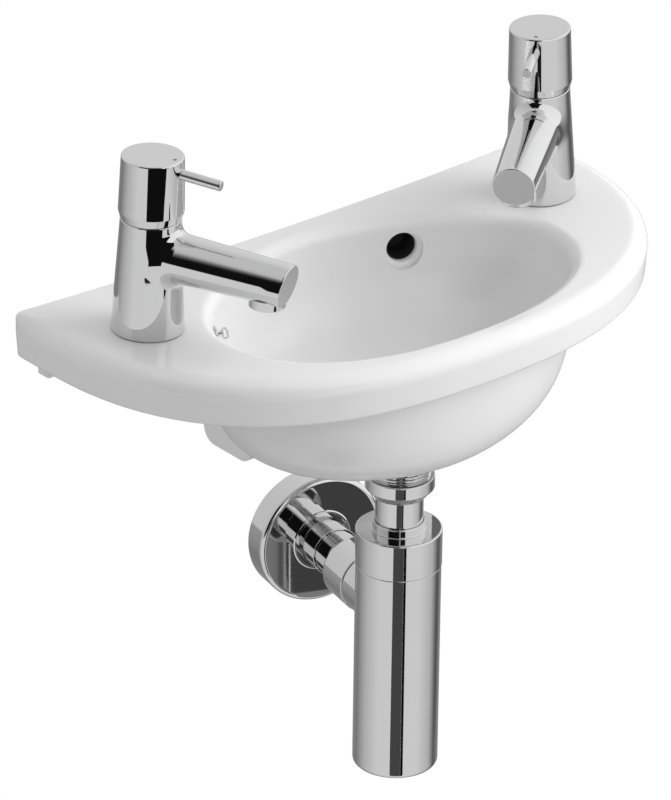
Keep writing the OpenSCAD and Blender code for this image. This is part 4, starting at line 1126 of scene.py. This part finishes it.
# Studio: what chrome reflects is a ring of pale and dark panels, counted from the camera's side

def view_axes():
    """The camera's directions: to its right, up, and ahead"""
    a, e, roll = VIEW_TURN, VIEW_TILT, VIEW_ROLL
    side = Vector((math.cos(a), math.sin(a), 0))
    ahead = Vector((-math.sin(a) * math.cos(e), math.cos(a) * math.cos(e), -math.sin(e)))
    rise = side.cross(ahead)
    return (math.cos(roll) * side + math.sin(roll) * rise, math.cos(roll) * rise - math.sin(roll) * side, ahead)


def make_camera():
    side, rise, ahead = view_axes()
    data = bpy.data.cameras.new("camera")
    data.lens = VIEW_LENS
    data.sensor_width = 36
    data.clip_start = 0.1
    data.clip_end = 50
    camera = bpy.data.objects.new("camera", data)
    bpy.context.collection.objects.link(camera)
    camera.matrix_world = Matrix((side, rise, -ahead)).transposed().to_4x4()
    camera.location = side * VIEW_SIDE + rise * VIEW_RISE - ahead * VIEW_DISTANCE + Vector((0, 0, VIEW_LEVEL))
    bpy.context.scene.camera = camera


def mirrored(grey):
    """Light that chrome shows as an 8-bit grey value"""
    c = grey / 255
    return (c / 12.92 if c <= 0.04045 else ((c + 0.055) / 1.055) ** 2.4) / CHROME_SHARE


def make_world():
    """Chrome sees the rings and the ceiling, matt surfaces get soft light, and the camera sees white"""
    world = bpy.data.worlds.new("studio")
    bpy.context.scene.world = world
    world.use_nodes = True
    tree = world.node_tree
    tree.nodes.clear()

    def maths(operation, *values):
        return add_node(tree, "Math", dict(enumerate(values)), operation=operation).outputs[0]

    def mixed(share, first, second):
        sockets = {"Factor": share, "A": first, "B": second}
        return add_node(tree, "Mix", sockets, data_type="RGBA").outputs["Result"]

    def map_range(**sockets):
        return add_node(tree, "MapRange", {label.replace("_", " "): value for label, value in sockets.items()})

    def eased(low, high, **levels):
        """Goes from one level to another between two heights of the view direction"""
        rise = map_range(Value=parts["Z"], From_Min=low, From_Max=high, **levels)
        rise.interpolation_type = "SMOOTHSTEP"
        return rise.outputs["Result"]

    def ring(levels):
        """Light round the object at one height, as a ramp over the angle"""
        ramp = add_node(tree, "ValToRGB", {"Fac": angle})
        marks = ramp.color_ramp.elements
        for i, (degrees, grey) in enumerate(levels):
            at = degrees / 360 + 0.5
            mark = marks[i] if i < 2 else marks.new(at)
            mark.position = at
            mark.color = (*[mirrored(grey)] * 3, 1)
        return ramp.outputs["Color"]

    place = add_node(tree, "TexCoord").outputs["Generated"]
    parts = add_node(tree, "SeparateXYZ", {0: place}).outputs
    # Angle round the object, where 0.5 is the camera's side
    camera_side = math.atan2(-math.cos(VIEW_TURN), math.sin(VIEW_TURN))
    angle = maths("SUBTRACT", maths("ARCTAN2", parts["Y"], parts["X"]), camera_side)
    angle = maths("FRACT", maths("ADD", maths("MULTIPLY", angle, 1 / (2 * math.pi)), 1.5))
    shown = mixed(eased(-0.16, -0.10), ring(LOW_RING), ring(HIGH_RING))
    shown = mixed(eased(0.72, 0.92), shown, (*[mirrored(CEILING_GREY)] * 3, 1))
    # Soft light on matt surfaces, by height and by side
    side, _, ahead = view_axes()
    towards = add_node(tree, "VectorMath", {0: place, 1: (0.5 * side - ahead).normalized()},
                       operation="DOT_PRODUCT").outputs["Value"]
    below, above = [map_range(Value=towards, From_Min=-1, To_Min=far, To_Max=near).outputs["Result"]
                    for far, near in (SOFT_BELOW, SOFT_ABOVE)]
    rays = add_node(tree, "LightPath").outputs
    light = mixed(rays["Is Glossy Ray"], eased(-0.6, 0.7, To_Min=below, To_Max=above), shown)
    seen = mixed(rays["Is Camera Ray"], light, (1, 1, 1, 1))
    background = add_node(tree, "Background", {"Color": seen})
    add_node(tree, "OutputWorld", {"Surface": background.outputs["Background"]})


def make_lamp(name, place, size, watts):
    data = bpy.data.lights.new(name, "AREA")
    data.shape = "DISK"
    data.size = size
    data.energy = watts
    lamp = bpy.data.objects.new(name, data)
    bpy.context.collection.objects.link(lamp)
    lamp.location = place
    lamp.rotation_euler = (Vector(LAMP_AIM) - Vector(place)).to_track_quat("-Z", "Y").to_euler()
    lamp.visible_glossy = False


def make_floor():
    """Pale floor well below the basin, plain white to the camera"""
    floor = add_piece("studio_floor", bpy.ops.mesh.primitive_plane_add, size=30, location=(0, 0, FLOOR_Z))
    bpy.ops.object.transform_apply(location=True)
    material, tree, shader = new_material("Studio floor")
    feed(tree, shader, {"Base Color": (0.6, 0.6, 0.6, 1), "Roughness": 0.9})
    mix = add_node(tree, "MixShader", {
        "Fac": add_node(tree, "LightPath").outputs["Is Camera Ray"],
        1: shader.outputs["BSDF"], 2: add_node(tree, "Emission").outputs["Emission"]})
    feed(tree, tree.nodes["Material Output"], {"Surface": mix.outputs["Shader"]})
    floor.data.materials.append(material)
    floor.visible_glossy = False


def make_flag(name, grey, corners):
    """Studio flag of one grey that only reflections show, with its corners in millimetres"""
    flag = add_piece("studio_flag_" + name, bpy.ops.mesh.primitive_circle_add, vertices=len(corners),
                     fill_type="NGON")
    for vertex, corner in zip(flag.data.vertices, corners):
        vertex.co = Vector(corner) * MM
    material, tree, shader = new_material("Flag " + name)
    feed(tree, shader, {"Base Color": (0, 0, 0, 1), "Roughness": 1, "Specular IOR Level": 0,
                        "Emission Color": (1, 1, 1, 1), "Emission Strength": mirrored(grey)})
    flag.data.materials.append(material)
    for ray in ("camera", "diffuse", "shadow", "transmission", "volume_scatter"):
        setattr(flag, "visible_" + ray, False)


def make_flags():
    side, rise, ahead = view_axes()
    across = Vector((side.x, side.y, 0)).normalized()
    away = -Vector((ahead.x, ahead.y, 0)).normalized() * FLAG_AWAY
    for name, (grey, outline_points) in FLAGS.items():
        make_flag(name, grey, [away + across * u + Vector((0, 0, z)) for u, z in outline_points])
    for grey, (x0, x1), y, (z0, z1) in CARDS:
        make_flag("card", grey, [(x, y, z) for x, z in ((x0, z0), (x1, z0), (x1, z1), (x0, z1))])


make_camera()
make_world()
make_floor()
make_flags()
make_lamp("key", KEY_PLACE, KEY_SIZE, KEY_WATTS)
make_lamp("fill", FILL_PLACE, FILL_SIZE, FILL_WATTS)
bpy.context.scene.view_settings.view_transform = "Standard"
